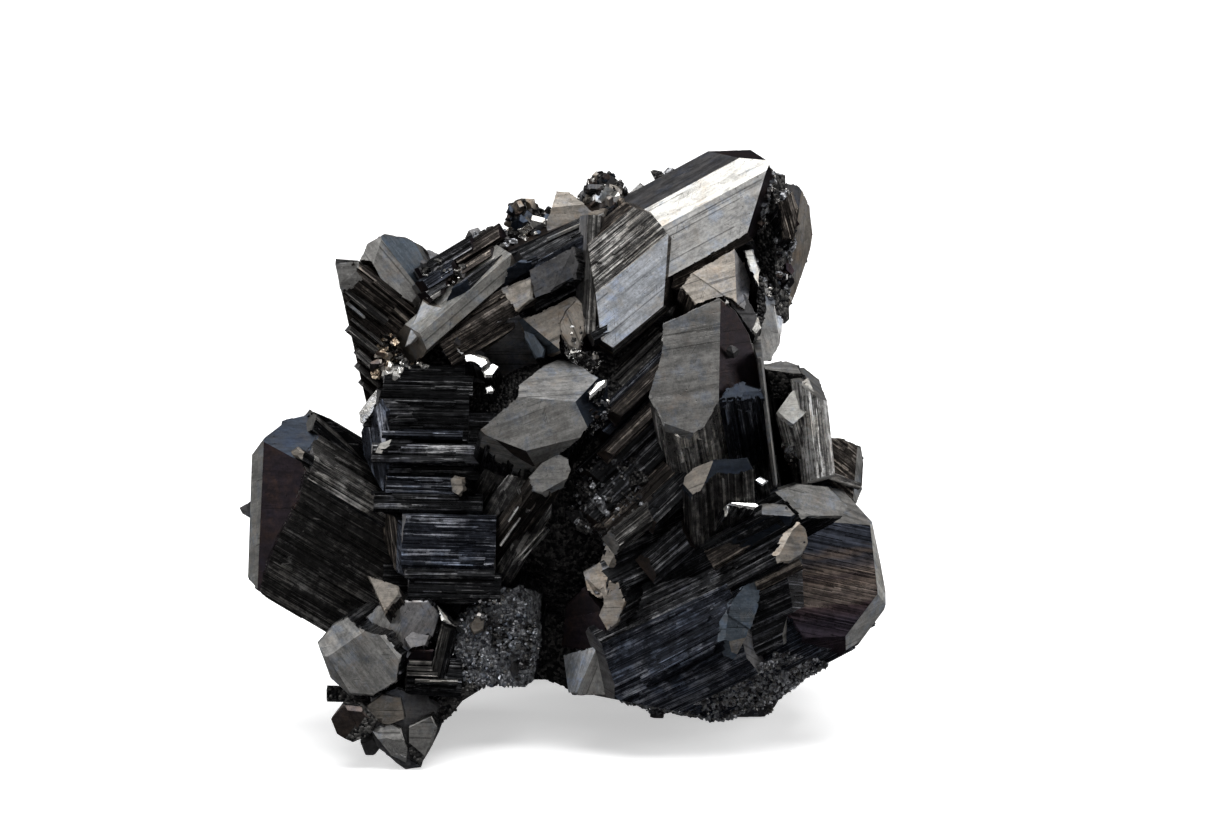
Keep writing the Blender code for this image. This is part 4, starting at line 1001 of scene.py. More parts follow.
# %% Centre right
DOWN_BACK = (0.13, 0.70, -0.70)
stub("grey_tower", [(66.2, 32.4), (71.8, 29.8), (73.4, 31.0), (74.7, 33.2), (75.7, 36.6), (76.4, 39.2),
                    (71.7, 40.2), (70.3, 42.6), (68.8, 43.7), (66.4, 42.9), (64.8, 39.6), (66.1, 35.4)],
     near=15.0, lean=(0.12, 0.22), axis=DOWN_BACK, length=20, folds=[((71.9, 29.8), (71.7, 40.2), 1.5)],
     fold_faces=("violet_face",), side="pale_striae", lines=-8.0, tone=0.20, terraces=0)
stub("tower_step", [(66.2, 34.1), (71.8, 31.7), (71.6, 40.0), (70.3, 42.4), (68.8, 43.5), (66.5, 42.7),
                    (65.0, 39.6), (66.2, 35.6)],
     near=14.6, lean=(0.12, 0.22), axis=DOWN_BACK, length=6, lines=-8.0, tone=0.20, terraces=0)
stub("tower_blue", [(71.7, 40.0), (72.4, 38.9), (74.0, 38.2), (76.0, 38.8), (76.2, 39.6), (74.0, 39.8)],
     near=14.3, lean=(-0.9, 0.35), axis=DOWN_BACK, length=8, face="blue_face", side="blue_striae",
     tone=0.4)
stub("tower_chip", [(72.4, 34.8), (72.9, 34.5), (73.6, 34.7), (73.1, 35.1)],
     near=14.50, lean=(-0.6, 0.5), axis=DOWN_BACK, length=1.0, face="slate_face", side="slate_face",
     tone=0.3)
stub("tower_foot", [(68.1, 48.6), (68.3, 47.6), (69.3, 46.5), (71.2, 45.7), (74.5, 45.5), (75.1, 46.7),
                    (73.6, 47.3), (71.3, 47.3), (69.9, 48.9), (68.9, 49.5)],
     near=16.0, lean=(0.1, 0.25), axis=(0.05, 0.80, -0.60), length=14,
     folds=[((71.3, 45.6), (69.9, 49.2), 0.9)], face="blue_face", fold_faces=("warm_face",),
     side="grey_striae", tone=0.22, terraces=0)
blade("edge_plate", (75.7, 35.4, 11.0), (77.3, 48.0, 8.0),
      [(0.25, 1.2), (0.1, 2.2), (-0.2, 2.0), (-0.4, -6), (0.5, -6)],
      sides=("silver_face",), tone=0.8)
# Painted highlight: a chip painted near white to stand in for a glint of lamp light.
stub("white_chip", [(75.2, 47.9), (75.8, 47.5), (76.6, 47.9), (76.0, 48.4)],
     near=13.4, lean=(0.0, 0.5), axis=(0.1, 0.6, -0.8), length=4, face="glint_face", tone=0.6)
stub("dark_notch", [(76.0, 36.5), (78.6, 36.0), (79.7, 36.4), (80.2, 37.4), (78.4, 39.9), (77.3, 39.7)],
     near=7.0, lean=(0.2, -0.5), axis=(0.1, 0.6, -0.8), length=12,
     folds=[((76.0, 36.9), (80.1, 37.5), 2.0)], face="dark_crust", fold_faces=("grey_face",), tone=0.3)
stub("pale_shoulder", [(77.3, 41.2), (78.6, 39.4), (80.6, 37.6), (81.3, 39.2), (81.2, 40.6),
                       (79.6, 42.0), (79.0, 42.6), (78.0, 41.9)],
     near=8.8, lean=(0.1, 0.35), axis=(0.22, 0.8, -0.5), length=4, face="pale_face", side="pale_striae",
     tone=0.18, terraces=0)
# Painted light: the right-hand lamp lights this post, and its pale striae paint that light into its
# colour as well.
blade("pale_post", (80.7, 38.0, 8.6), (81.9, 48.6, 6.6),
      [(1.6, -0.6), (0.9, 0.8), (-0.3, 1.3), (-1.2, 0.9), (-1.8, -1.0), (-0.9, -7), (1.2, -7)],
      ends=[((81.2, 38.6, 6.0), (0.62, -0.75, 0.2)), ((82.2, 47.9, 5.0), (0.3, 0.95, 0.1))],
      sides=("pale_striae", "pale_striae", "pale_striae", "pale_striae", "black_striae"), tone=0.85)
blade("inner_post", (79.6, 42.2, 6.6), (80.6, 48.4, 5.0),
      [(0.45, 0.2), (0.2, 0.7), (-0.3, 0.6), (-0.5, 0.0), (-0.4, -5), (0.4, -5)],
      sides=("grey_striae",), tone=0.4)
stub("far_right_knob", [(82.4, 43.7), (84.2, 43.8), (86.2, 44.6), (86.5, 46.4), (86.4, 48.6),
                        (85.6, 50.4), (84.2, 49.5), (82.4, 48.0)],
     near=1.5, lean=(-0.35, 0.0), axis=(-0.5, 0.1, -0.85), length=14,
     folds=[((85.7, 44.8), (85.3, 49.6), 1.6)], face="brown_striae", fold_faces=("grey_face",),
     lines=35.0, tone=0.8)
blade("knob_bar", (82.4, 47.4, 4.0), (85.9, 48.6, 1.8),
      [(0.35, 0.0), (0.15, 0.4), (-0.2, 0.3), (-0.4, 0.0), (-0.3, -3), (0.3, -3)],
      sides=("grey_striae",), tone=0.8)
SLANT = (0.72, -0.69)
for name, foot, near, half, size, finish, tone in (
    ("slant_a", (60.3, 44.2), 7.6, 2.6, 12.0, "blue_striae", 0.35),
    ("slant_b", (59.0, 48.4), 9.0, 2.2, 13.0, "black_striae", 0.3),
    ("slant_c", (58.2, 52.0), 10.0, 1.8, 12.5, "black_striae", 0.4),
    ("slant_d", (60.4, 53.6), 11.0, 1.5, 9.5, "brown_striae", 0.4),
    ("slant_e", (64.2, 52.2), 11.6, 1.5, 7.5, "black_striae", 0.5),
    ("slant_f", (59.4, 40.8), 5.6, 1.8, 10.0, "grey_striae", 0.1),
    ("slant_g", (61.0, 42.0), 10.2, 0.9, 8.0, "brown_striae", 0.35),
    ("slant_h", (60.2, 45.8), 10.8, 0.8, 9.0, "brown_striae", 0.45),
):
    end = (foot[0] + SLANT[0] * size, foot[1] + SLANT[1] * size, near - 0.5)
    blade(name, (*foot, near), end,
          [(half, 0), (half * 0.5, 1.0), (-half * 0.6, 1.3), (-half, 0.2), (-half * 0.6, -7),
           (half * 0.6, -7)],
          ends=[((foot[0] + 0.6, foot[1] - 0.6, near + 1), (-0.5, 0.5, 0.7))], sides=(finish,),
          end_face="bronze_face", tone=tone)
unite("centre_right_crystals")

# %% [markdown]
# ## The top right
#
# One long plate crosses the top. The bevel along its front edge mirrors the overhead lamp and is
# painted pale for it as well, which makes it nearly white; the face below it is painted silver grey
# and the one above it painted dark, lit and shaded copies of one grey.

# %% Top right
blade("long_plate", (62.0, 25.4, 4.0), (77.0, 17.3, 3.0),
      [(4.9, -5.0), (2.7, 1.2), (0.3, 3.4), (-4.4, 3.9), (-5.0, 1.0), (-3.0, -8), (2.0, -10)],
      ends=[((77.0, 17.0, 5.0), (0.90, 0.25, 0.25)), ((73.5, 15.5, 1.0), (0.04, -1.0, 0.12))],
      sides=("slate_face", "pale_face", "silver_face", "brown_striae"), end_face="violet_face",
      tone=0.56)
stub("plate_foot", [(67.0, 28.9), (67.3, 27.6), (72.0, 25.0), (74.6, 23.4), (75.2, 24.2), (72.6, 25.6),
                    (69.4, 27.6), (67.6, 29.2)],
     near=9.4, lean=(0.0, -0.4), axis=(0.1, 0.2, -0.97), length=9, face="brown_striae", lines=-28.0,
     tone=0.4)
# The dark crust of this floor fills a deep cleft; its dark colour partly paints the shade of the cleft.
stub("notch_floor", [(53.0, 58.0), (58.5, 57.0), (61.0, 62.0), (60.0, 69.4), (57.0, 69.2), (54.0, 67.9),
                     (52.5, 66.0)],
     near=-3.0, lean=(0.0, -0.2), axis=(0.0, -0.2, -0.98), length=14, face="dark_crust", tone=0.2,
     terraces=0)
blade("striped_plate", (57.0, 32.8, 5.7), (67.4, 24.2, 6.2),
      [(6.2, -1.6), (5.2, 0.8), (0.9, 2.3), (-4.3, 3.0), (-5.0, 0.2), (-3.0, -8), (4.0, -8)],
      ends=[((66.8, 23.6, 8.5), (0.93, 0.05, 0.25)), ((65.0, 21.5, 7.0), (0.35, -0.93, 0.1)),
            ((59.4, 28.0, 8.0), (-0.98, 0.10, 0.20)), ((60.2, 34.3, 8.0), (-0.55, 0.80, 0.25))],
      sides=("brown_striae", "grey_striae", "steel_face", "grey_striae", "black_striae"),
      end_face="brown_striae", tone=0.95)
blade("plate_fray", (58.9, 33.9, 8.2), (64.6, 31.0, 8.0),
      [(0.8, -0.4), (0.4, 0.4), (-0.4, 0.5), (-0.9, 0.0), (-0.7, -4), (0.8, -4)],
      ends=[((59.2, 33.9, 8.4), (-0.8, 0.4, 0.4))], tone=0.6)
stub("pale_facet", [(68.0, 28.9), (69.0, 27.5), (73.3, 25.0), (74.2, 26.4), (75.0, 28.0), (74.8, 29.6),
                    (74.4, 31.2), (73.6, 30.6), (73.0, 30.0), (71.9, 29.8), (69.4, 30.6)],
     near=11.0, lean=(-0.05, 0.25), axis=(-0.1, 0.35, -0.93), length=14,
     folds=[((73.3, 25.0), (73.5, 30.2), 1.5)], face="warm_face", fold_faces=("slate_face",),
     side="brown_striae", lines=-20.0, tone=0.9)
stub("bright_fin", [(74.2, 25.2), (75.2, 25.0), (75.9, 27.0), (75.7, 28.8), (74.9, 27.2)],
     near=10.0, lean=(-0.1, 0.4), axis=(-0.1, 0.35, -0.93), length=8, face="pale_face", tone=0.35)
stub("grey_fin", [(72.2, 29.9), (73.4, 28.4), (74.6, 29.8), (75.6, 31.8), (75.0, 33.4), (73.6, 31.4)],
     near=10.2, lean=(-0.5, 0.0), axis=(-0.1, 0.35, -0.93), length=10, face="slate_face", tone=0.8)
stub("right_wing", [(77.6, 18.3), (79.6, 18.4), (81.0, 20.5), (81.4, 23.5), (81.1, 25.5), (79.8, 29.2),
                    (78.4, 32.2), (77.5, 30.0), (77.0, 24.0)],
     near=0.5, lean=(-0.5, 0.0), axis=(-0.55, 0.25, -0.8), length=16,
     folds=[((80.0, 20.0), (78.4, 31.0), 1.6)], face="slate_face", fold_faces=("warm_face",),
     lines=80.0)
stub("wing_block", [(77.8, 20.4), (79.2, 19.2), (79.9, 21.0), (79.4, 24.2), (78.2, 24.0)],
     near=5.0, lean=(-0.4, -0.1), axis=(-0.3, 0.4, -0.87), length=9, face="brown_striae", lines=70.0,
     tone=0.6)
stub("right_tail", [(76.4, 28.0), (77.2, 30.2), (78.3, 32.0), (78.0, 34.4), (77.1, 36.2), (75.7, 36.3),
                    (75.0, 33.5), (75.6, 31.0)],
     near=4.0, lean=(-0.2, 0.1), axis=(-0.3, -0.2, -0.9), length=14,
     folds=[((76.8, 28.0), (78.0, 34.6), 1.2)], face="silver_face", lines=75.0, tone=0.62)
stub("tail_gap", [(75.6, 28.4), (76.4, 28.2), (76.6, 31.0), (76.0, 33.6), (75.4, 33.0)],
     near=6.0, lean=(-0.3, -0.1), axis=(-0.3, 0.1, -0.9), length=6, face="dark_crust", tone=0.1)
stub("tail_bead", [(74.9, 32.0), (75.7, 31.8), (76.0, 32.8), (75.4, 33.6), (74.8, 33.0)],
     near=9.6, lean=(0.0, 0.4), axis=(-0.1, 0.3, -0.9), length=4, face="pale_face", tone=0.3)
blade("plate_crust", (77.0, 17.6, 0.8), (77.4, 32.0, 1.4),
      [(1.5, 0.5), (0.2, 2.2), (-1.4, 1.0), (-1.4, -8), (1.2, -8)],
      sides=("dark_crust",))
unite("top_right_crystals")

# %% [markdown]
# ## Left of the middle
#
# Long crystals run up to the right, painted light on top where they face the overhead lamp and brown
# or blue on their flanks, over a dark ceiling, a downward face painted slate for the shade it lies in.

# %% Middle left
blade("long_beam", (40.0, 35.7, 8.5), (51.2, 25.9, 5.0),
      [(2.0, -1.0), (0.25, 1.2), (-1.4, 1.1), (-1.65, -0.4), (-1.0, -6), (1.6, -6)],
      ends=[((42.3, 34.2, 8.6), (-0.82, 0.34, 0.46)), ((50.0, 27.0, 8.0), (0.80, 0.05, 0.5))],
      sides=("pale_face", "pale_face", "grey_face", "brown_striae"), end_face="warm_face", tone=0.22)
stub("beam_facet", [(40.6, 34.8), (41.3, 32.6), (42.3, 30.1), (43.0, 30.6), (44.4, 30.9), (43.2, 32.4),
                    (41.5, 34.4)],
     near=7.6, lean=(0.35, 0.55), axis=(0.55, -0.40, -0.73), length=5, face="silver_face",
     side="warm_face", lines=-55.0, tone=0.30, terraces=0)
blade("brown_flank", (44.6, 35.2, 6.2), (53.4, 29.9, 6.6),
      [(2.4, 0.4), (0.8, 1.6), (-1.6, 1.4), (-2.2, -0.4), (-1.0, -6), (1.5, -6)],
      ends=[((51.9, 31.5, 8.0), (0.84, 0.35, 0.4))], sides=("brown_striae",), end_face="bronze_face",
      tone=0.62)
blade("blue_flank", (52.4, 29.0, 6.8), (60.4, 24.6, 4.6),
      [(3.6, -1.4), (1.8, 1.0), (-1.4, 1.6), (-2.6, 0.4), (-1.6, -7), (2.4, -7)],
      ends=[((53.2, 28.6, 7.5), (-0.90, 0.10, 0.35)), ((57.7, 27.0, 7.0), (0.92, 0.2, 0.35))],
      sides=("black_striae", "blue_striae", "black_striae"), end_face="slate_face")
stub("flank_block", [(53.2, 28.4), (53.0, 27.2), (57.4, 24.8), (57.8, 26.4), (57.6, 28.0), (55.0, 29.4),
                     (53.6, 29.9)],
     near=9.2, lean=(0.05, 0.1), axis=(0.30, 0.10, -0.95), length=6, face="slate_face", lines=-27.0,
     tone=0.25)
stub("pale_step", [(50.1, 29.0), (51.4, 28.5), (53.2, 27.8), (53.4, 28.8), (53.3, 30.1), (51.8, 31.4)],
     near=9.4, lean=(0.0, 0.3), axis=(0.5, -0.2, -0.85), length=8, face="warm_face",
     side="brown_striae", lines=-27.0, tone=0.34, terraces=0)
stub("blue_facet", [(50.4, 28.8), (50.8, 27.0), (52.0, 26.2), (53.1, 26.3), (53.1, 27.4), (51.4, 28.5)],
     near=8.2, lean=(-0.1, -0.5), axis=(0.5, -0.2, -0.85), length=8, face="blue_face",
     side="blue_striae", tone=0.6)
blade("upper_beam", (49.2, 26.4, 3.0), (61.0, 20.9, 1.4),
      [(1.6, -1.2), (0.4, 1.0), (-2.4, 1.2), (-2.8, -5), (1.4, -6)],
      sides=("bronze_face", "black_striae"), tone=0.4)
blade("bright_edge", (54.8, 24.0, 5.0), (60.4, 21.5, 4.4),
      [(0.15, 0.0), (0.05, 0.25), (-0.2, 0.2), (-0.2, -2), (0.1, -2)],
      sides=("pale_face",), tone=0.6)
stub("dark_ceiling", [(44.2, 35.2), (46.0, 33.4), (52.0, 31.6), (55.2, 35.2), (53.2, 37.4),
                      (50.4, 38.6), (46.8, 38.2)],
     near=5.6, lean=(0.0, -0.7), axis=(0.35, -0.25, -0.9), length=12, face="slate_face", tone=0.95)
stub("ceiling_end", [(40.6, 34.6), (43.6, 33.4), (45.6, 34.8), (46.4, 37.4), (42.0, 38.0),
                     (40.2, 36.8)],
     near=3.0, lean=(0.0, -0.2), axis=(0.2, 0.0, -0.98), length=9, face="dark_crust", side="dark_crust",
     terraces=0)
blade("ceiling_band", (45.6, 34.0, 7.6), (48.4, 35.6, 6.6),
      [(0.5, 0.0), (0.3, 0.3), (-0.3, 0.3), (-0.6, 0.0), (-0.5, -3), (0.5, -3)],
      sides=("slate_face",), tone=0.7)
stub("three_sided", [(51.7, 32.2), (52.6, 31.9), (56.0, 30.4), (57.4, 29.6), (58.3, 30.4), (57.6, 31.6),
                     (56.2, 33.0), (56.1, 35.3), (55.5, 35.6), (53.9, 35.9)],
     near=8.6, lean=(-0.05, 0.35), axis=(0.2, 0.3, -0.93), length=12,
     folds=[((52.3, 31.9), (55.9, 34.9), 1.2)], face="warm_face", fold_faces=("dusk_face",),
     lines=-30.0, tone=0.10, terraces=0)
stub("right_leaf", [(56.0, 32.2), (56.6, 31.0), (57.6, 30.0), (58.3, 30.4), (58.6, 33.4), (58.0, 35.4),
                    (57.0, 35.0), (56.2, 33.8)],
     near=8.7, lean=(-0.2, 0.35), axis=(0.1, 0.3, -0.93), length=9, face="warm_face", lines=70.0,
     tone=0.06, terraces=0)
stub("blue_leaf", [(52.2, 32.4), (53.2, 33.0), (54.6, 35.0), (54.4, 35.8), (53.6, 35.9), (52.6, 34.2)],
     near=8.6, lean=(0.45, 0.2), axis=(0.2, 0.3, -0.93), length=6, face="dusk_face", lines=60.0,
     tone=0.15)
blade("dividing_edge", (59.2, 21.8, 5.0), (58.6, 33.6, 7.6),
      [(1.2, 0.0), (0.4, 0.9), (-0.9, 0.8), (-1.3, -0.5), (-1.2, -7), (1.0, -7)],
      sides=("slate_face", "grey_striae", "slate_face"), tone=0.3)
stub("top_spire", [(54.6, 24.0), (54.7, 22.0), (55.3, 20.4), (55.6, 19.1), (56.9, 19.2), (58.3, 20.3),
                   (59.2, 21.2), (60.8, 20.9), (60.4, 21.8)],
     near=2.4, lean=(0.1, 0.3), axis=(0.1, 0.5, -0.9), length=10,
     folds=[((55.2, 20.8), (58.2, 20.5), 0.6)], face="warm_face", fold_faces=("warm_face",), tone=0.22)
stub("far_slab", [(62.1, 19.9), (64.0, 18.1), (64.7, 18.5), (64.2, 19.6), (62.6, 20.4)],
     near=-1.5, lean=(0.1, 0.4), axis=(0.1, 0.6, -0.8), length=8, lines=-35.0)
# Painted highlights: the white leaves are painted near white to stand in for glints of lamp light.
for name, outline, near, tone in (
    ("white_leaf",
     [(46.4, 35.4), (47.6, 35.3), (48.8, 35.7), (49.1, 36.2), (48.3, 36.8), (47.6, 36.2), (46.8, 36.1)],
     7.9, 0.75),
    ("white_steps", [(48.2, 37.0), (49.3, 36.3), (50.0, 36.7), (49.3, 37.7), (48.6, 37.7)], 7.6, 0.5),
    ("white_spot", [(48.6, 38.7), (49.2, 38.4), (49.6, 38.9), (49.3, 39.3), (48.8, 39.3)], 7.4, 0.75),
    ("white_thread", [(45.4, 34.7), (45.7, 34.7), (46.5, 35.3), (46.3, 35.4)], 7.9, 0.75),
):
    stub(name, outline,
         near=near, lean=(0.0, 0.5), axis=(0.1, 0.4, -0.9), length=4, face="glint_face", lines=-35.0,
         tone=tone, terraces=0)
unite("middle_left_crystals")

# %% [markdown]
# ## The left
#
# A tabular crystal stands out to the left. Its end is brown with a bevelled rim painted pale, light
# painted where the rim faces the lamp on the left, and the flank that runs back from it is the most
# deeply striated of all.

# %% Left
LEFT_BACK = (0.80, 0.49, -0.38)
stub("left_tablet", [(24.9, 57.8), (25.0, 54.5), (25.3, 45.2), (26.3, 44.0), (29.0, 41.9), (31.6, 41.3),
                     (32.2, 43.5), (31.0, 47.0), (30.2, 50.2), (28.2, 53.6), (26.9, 57.0),
                     (26.4, 59.2)],
     near=9.0, lean=(0.55, 0.0), axis=LEFT_BACK, length=17,
     folds=[((26.7, 44.2), (26.1, 57.8), 2.6), ((26.6, 44.1), (30.6, 46.2), 1.1)], face="violet_face",
     fold_faces=("pale_face", "blue_face"), side="grey_striae", tone=0.36)
stub("tablet_spot", [(29.3, 45.0), (30.0, 44.5), (30.6, 45.0), (30.4, 45.8), (29.7, 45.6)],
     near=10.6, lean=(0.3, 0.3), axis=LEFT_BACK, length=4, face="warm_face", tone=0.35, terraces=0)
stub("left_recess", [(30.2, 42.6), (31.8, 41.3), (33.5, 42.0), (36.2, 44.3), (37.6, 47.0), (34.0, 47.0),
                     (31.4, 45.6)],
     near=5.5, lean=(0.2, -0.4), axis=LEFT_BACK, length=13, face="black_striae", tone=0.3)
blade("recess_rod", (31.4, 42.2, 7.6), (36.6, 46.8, 5.0),
      [(0.9, -0.4), (0.5, 0.5), (-0.5, 0.7), (-1.0, 0.0), (-0.8, -3), (0.8, -3)],
      ends=[((31.6, 42.4, 8.0), (-0.8, -0.3, 0.5))], sides=("grey_striae", "black_striae"))
blade("left_rod", (30.6, 46.4, 9.4), (39.4, 51.8, 5.8),
      [(1.9, 0.0), (1.0, 1.2), (-0.9, 1.4), (-1.8, 0.2), (-1.0, -6), (1.0, -6)],
      ends=[((31.2, 46.8, 10.0), (-0.7, -0.3, 0.6))],
      sides=("grey_striae", "grey_striae", "black_striae"), end_face="slate_face", tone=0.8)
stub("left_nub", [(23.9, 50.7), (25.3, 49.9), (25.4, 52.0), (24.3, 51.4)],
     near=3.5, lean=(0.4, 0.0), axis=(0.95, 0.0, -0.3), length=5, face="slate_face")
unite("left_crystals")

# %% [markdown]
# ## The top left
#
# Stepped crystals climb the upper left, under one whose end is shaped like a roof.

# %% Top left
ROOF_BACK = (0.74, 0.58, -0.34)
stub("roofed", [(36.0, 26.1), (36.8, 24.3), (38.5, 23.3), (40.5, 23.6), (42.0, 24.4), (43.1, 26.4),
                (42.2, 28.2), (42.2, 29.8), (41.6, 30.6), (40.0, 29.7), (38.3, 28.1), (37.3, 26.2)],
     near=3.9, lean=(-0.20, 0.18), axis=(0.45, 0.42, -0.79), length=14,
     folds=[((38.5, 24.3), (42.2, 29.2), 0.8), ((38.5, 23.2), (37.5, 26.4), 0.8)],
     fold_faces=("dusk_face", "grey_face"), side="brown_striae", lines=50.0, tone=0.34, terraces=0)
STEP_WALL = (-0.975, 0.215, 0.0)
for name, start, end, near, half, tone in (
    ("step_upper", (33.0, 26.8), (43.0, 34.8), 5.2, 2.6, 0.45),
    ("step_middle", (34.0, 31.4), (43.2, 38.8), 5.0, 2.4, 0.35),
    ("step_lower", (34.8, 35.6), (43.0, 42.0), 4.6, 2.2, 0.30),
    ("step_foot", (35.2, 37.8), (40.5, 42.0), 4.2, 1.7, 0.40),
):
    blade(name, (*start, near), (*end, near - 2.0),
          [(half, -0.8), (half * 0.8, 0.5), (-half * 0.3, 0.9), (-half, 0.1), (-half * 0.9, -5),
           (half * 0.9, -6)],
          ends=[((34.25, 29.0, 6.0), STEP_WALL)], trims=[((36.4, 26.2, 0.0), (0.1, -1.0, 0.1))],
          sides=("brown_striae",), end_face="brown_striae", tone=tone + 0.15)
stub("step_face", [(33.6, 26.6), (34.4, 26.3), (36.0, 26.2), (36.1, 27.8), (35.2, 28.6), (34.1, 29.1)],
     near=7.0, lean=(0.25, 0.2), axis=ROOF_BACK, length=5, side="brown_striae", tone=0.40, terraces=0)
for number, (start, end, near, half, finish, tone) in enumerate((
    ((34.8, 29.1), (38.8, 32.3), 6.7, 0.42, "grey_striae", 0.3),
    ((35.3, 30.7), (36.6, 31.8), 6.9, 0.16, "pale_face", 0.6),
    ((35.1, 33.0), (37.8, 35.2), 6.6, 0.40, "grey_striae", 0.5),
    ((35.9, 35.2), (39.0, 38.0), 6.4, 0.36, "pale_striae", 0.3),
    ((36.0, 36.7), (38.1, 38.6), 6.1, 0.30, "grey_striae", 0.6),
    ((38.0, 29.6), (41.4, 32.6), 5.2, 0.5, "brown_striae", 0.5),
    ((35.4, 32.0), (38.4, 34.5), 6.3, 0.16, "pale_striae", 0.3),
    ((36.4, 38.4), (38.2, 40.0), 5.9, 0.22, "grey_striae", 0.6),
)):
    blade(f"step_bar_{number}", (*start, near), (*end, near - 0.6),
          [(half, -0.2), (half * 0.5, 0.3), (-half * 0.5, 0.35), (-half, 0.0), (-half, -2), (half, -2)],
          sides=(finish,), tone=tone)
stub("behind_roof", [(42.3, 25.4), (42.7, 24.9), (43.3, 25.0), (44.1, 26.1), (43.6, 27.0),
                     (43.0, 27.6)],
     near=0.0, lean=(0.0, 0.4), axis=ROOF_BACK, length=8, face="slate_face", tone=0.7)
for name, start, end, near, half, finish, tone in (
    ("crown_bar_a", (42.0, 27.6), (47.6, 24.2), 5.0, 0.8, "black_striae", 0.4),
    ("crown_bar_b", (42.2, 28.9), (45.8, 26.6), 6.4, 0.8, "blue_striae", 0.35),
    ("crown_bar_c", (42.8, 30.2), (44.8, 28.9), 6.9, 0.35, "grey_striae", 0.3),
    ("crown_bar_d", (45.0, 26.4), (50.4, 23.0), 4.2, 0.8, "brown_striae", 0.4),
    ("crown_bar_e", (45.6, 27.6), (49.6, 25.0), 5.6, 0.5, "brown_striae", 0.3),
    ("crown_bar_f", (42.4, 29.8), (45.2, 28.0), 6.6, 0.45, "black_striae", 0.5),
):
    blade(name, (*start, near), (*end, near - 1.2),
          [(half, -0.4), (half * 0.6, 0.5), (-half * 0.6, 0.7), (-half, 0.1), (-half * 0.8, -4),
           (half * 0.8, -5)],
          ends=[((start[0] + 0.3, start[1] - 0.1, near), (-0.7, 0.4, 0.6)),
                ((end[0] - 0.2, end[1] + 0.1, near - 1), (0.8, -0.3, 0.5))], sides=(finish,),
          end_face="violet_face", tone=tone)
stub("blue_window", [(44.6, 30.6), (45.2, 28.9), (46.6, 28.2), (46.9, 29.2), (45.8, 30.3)],
     near=7.4, lean=(0.0, -0.3), axis=(0.7, -0.5, -0.4), length=5, face="blue_face", tone=0.7)
unite("top_left_crystals")

# %% [markdown]
# ## The dark stack
#
# Level bars lie on one another like books, nearly black, with the finest striae of the cluster. A
# slanted bundle leans on their right end.

# %% Stack
for name, left, right, down, half, near, finish, tone in (
    ("bar_crown", 38.6, 46.6, 37.2, 0.8, 6.4, "black_striae", 0.30),
    ("bar_top", 38.5, 47.4, 38.6, 1.2, 7.0, "black_striae", 0.35),
    ("bar_upper", 37.8, 47.0, 41.6, 2.7, 7.4, "black_striae", 0.02),
    ("bar_upper_lip", 38.4, 46.4, 43.4, 0.5, 8.6, "blue_striae", 0.25),
    ("bar_rod", 37.4, 48.1, 45.3, 1.0, 9.2, "black_striae", 0.85),
    ("bar_gap", 38.4, 49.0, 47.0, 1.2, 7.2, "black_striae", 0.10),
    ("bar_mid", 38.8, 45.9, 48.5, 1.1, 8.6, "blue_striae", 0.30),
    ("bar_lines", 37.6, 48.4, 50.2, 1.0, 8.9, "black_striae", 0.30),
    ("bar_low", 40.4, 49.7, 54.0, 2.7, 9.6, "blue_striae", 0.70),
    ("bar_low_lip", 40.7, 49.6, 56.9, 0.8, 9.4, "black_striae", 0.70),
    ("bar_base", 41.0, 50.2, 58.6, 1.6, 8.8, "black_striae", 0.40),
    ("bar_heart", 38.6, 50.0, 50.0, 9.0, 5.2, "black_striae", 0.20),
):
    blade(name, (left, down - 0.1, near), (right, down + 0.1, near),
          [(half, -0.4), (half - 0.25, 0.35), (-half + 0.35, 0.55), (-half, 0.2), (-half * 0.9, -7),
           (half * 0.9, -7)],
          ends=[((left + 0.5, down, near + 1.0), (-0.75, -0.15, 0.62)),
                ((right - 0.2, down, near + 1.0), (0.85, 0.1, 0.5))], sides=(finish,),
          end_face="slate_face", tone=tone)
stub("stack_end", [(36.2, 43.2), (37.0, 41.2), (38.2, 39.9), (39.0, 41.0), (39.0, 46.0), (38.8, 49.6),
                   (37.4, 47.4), (36.5, 45.6)],
     near=7.8, lean=(0.9, 0.0), axis=(0.9, 0.0, -0.4), length=8, face="blue_striae", lines=75.0,
     tone=0.55)
# Painted highlight: a flake painted near white to stand in for a glint of lamp light.
stub("white_flake", [(37.9, 38.8), (37.0, 39.8), (36.0, 41.2), (36.2, 42.6), (37.1, 41.2), (37.9, 39.9),
                     (38.2, 39.2)],
     near=7.4, lean=(0.4, 0.55), axis=(0.8, 0.1, -0.6), length=3, face="glint_face", lines=-60.0,
     tone=0.45, terraces=0)
stub("rod_chip", [(37.6, 45.2), (38.0, 44.4), (38.6, 43.9), (38.5, 44.5), (38.0, 45.3)],
     near=10.4, lean=(0.2, 0.4), axis=(0.9, 0.0, -0.4), length=3, face="pale_face", tone=0.3,
     terraces=0)
stub("stack_corner", [(38.2, 50.8), (39.6, 51.4), (41.0, 52.8), (41.4, 55.0), (41.2, 58.0),
                      (39.6, 57.0), (38.4, 54.0)],
     near=9.0, lean=(0.7, -0.1), axis=(0.8, 0.1, -0.6), length=9,
     folds=[((40.0, 51.4), (39.8, 57.4), 0.9)], face="blue_striae", fold_faces=("brown_striae",),
     lines=70.0, tone=0.35)
stub("light_bit", [(45.2, 47.9), (45.6, 47.4), (46.6, 47.6), (46.8, 48.8), (46.2, 49.5), (45.4, 49.1)],
     near=11.0, lean=(0.0, 0.35), axis=(0.3, 0.2, -0.93), length=5, face="warm_face", tone=0.10)
SLANT_DOWN = (-0.38, 0.66, -0.65)
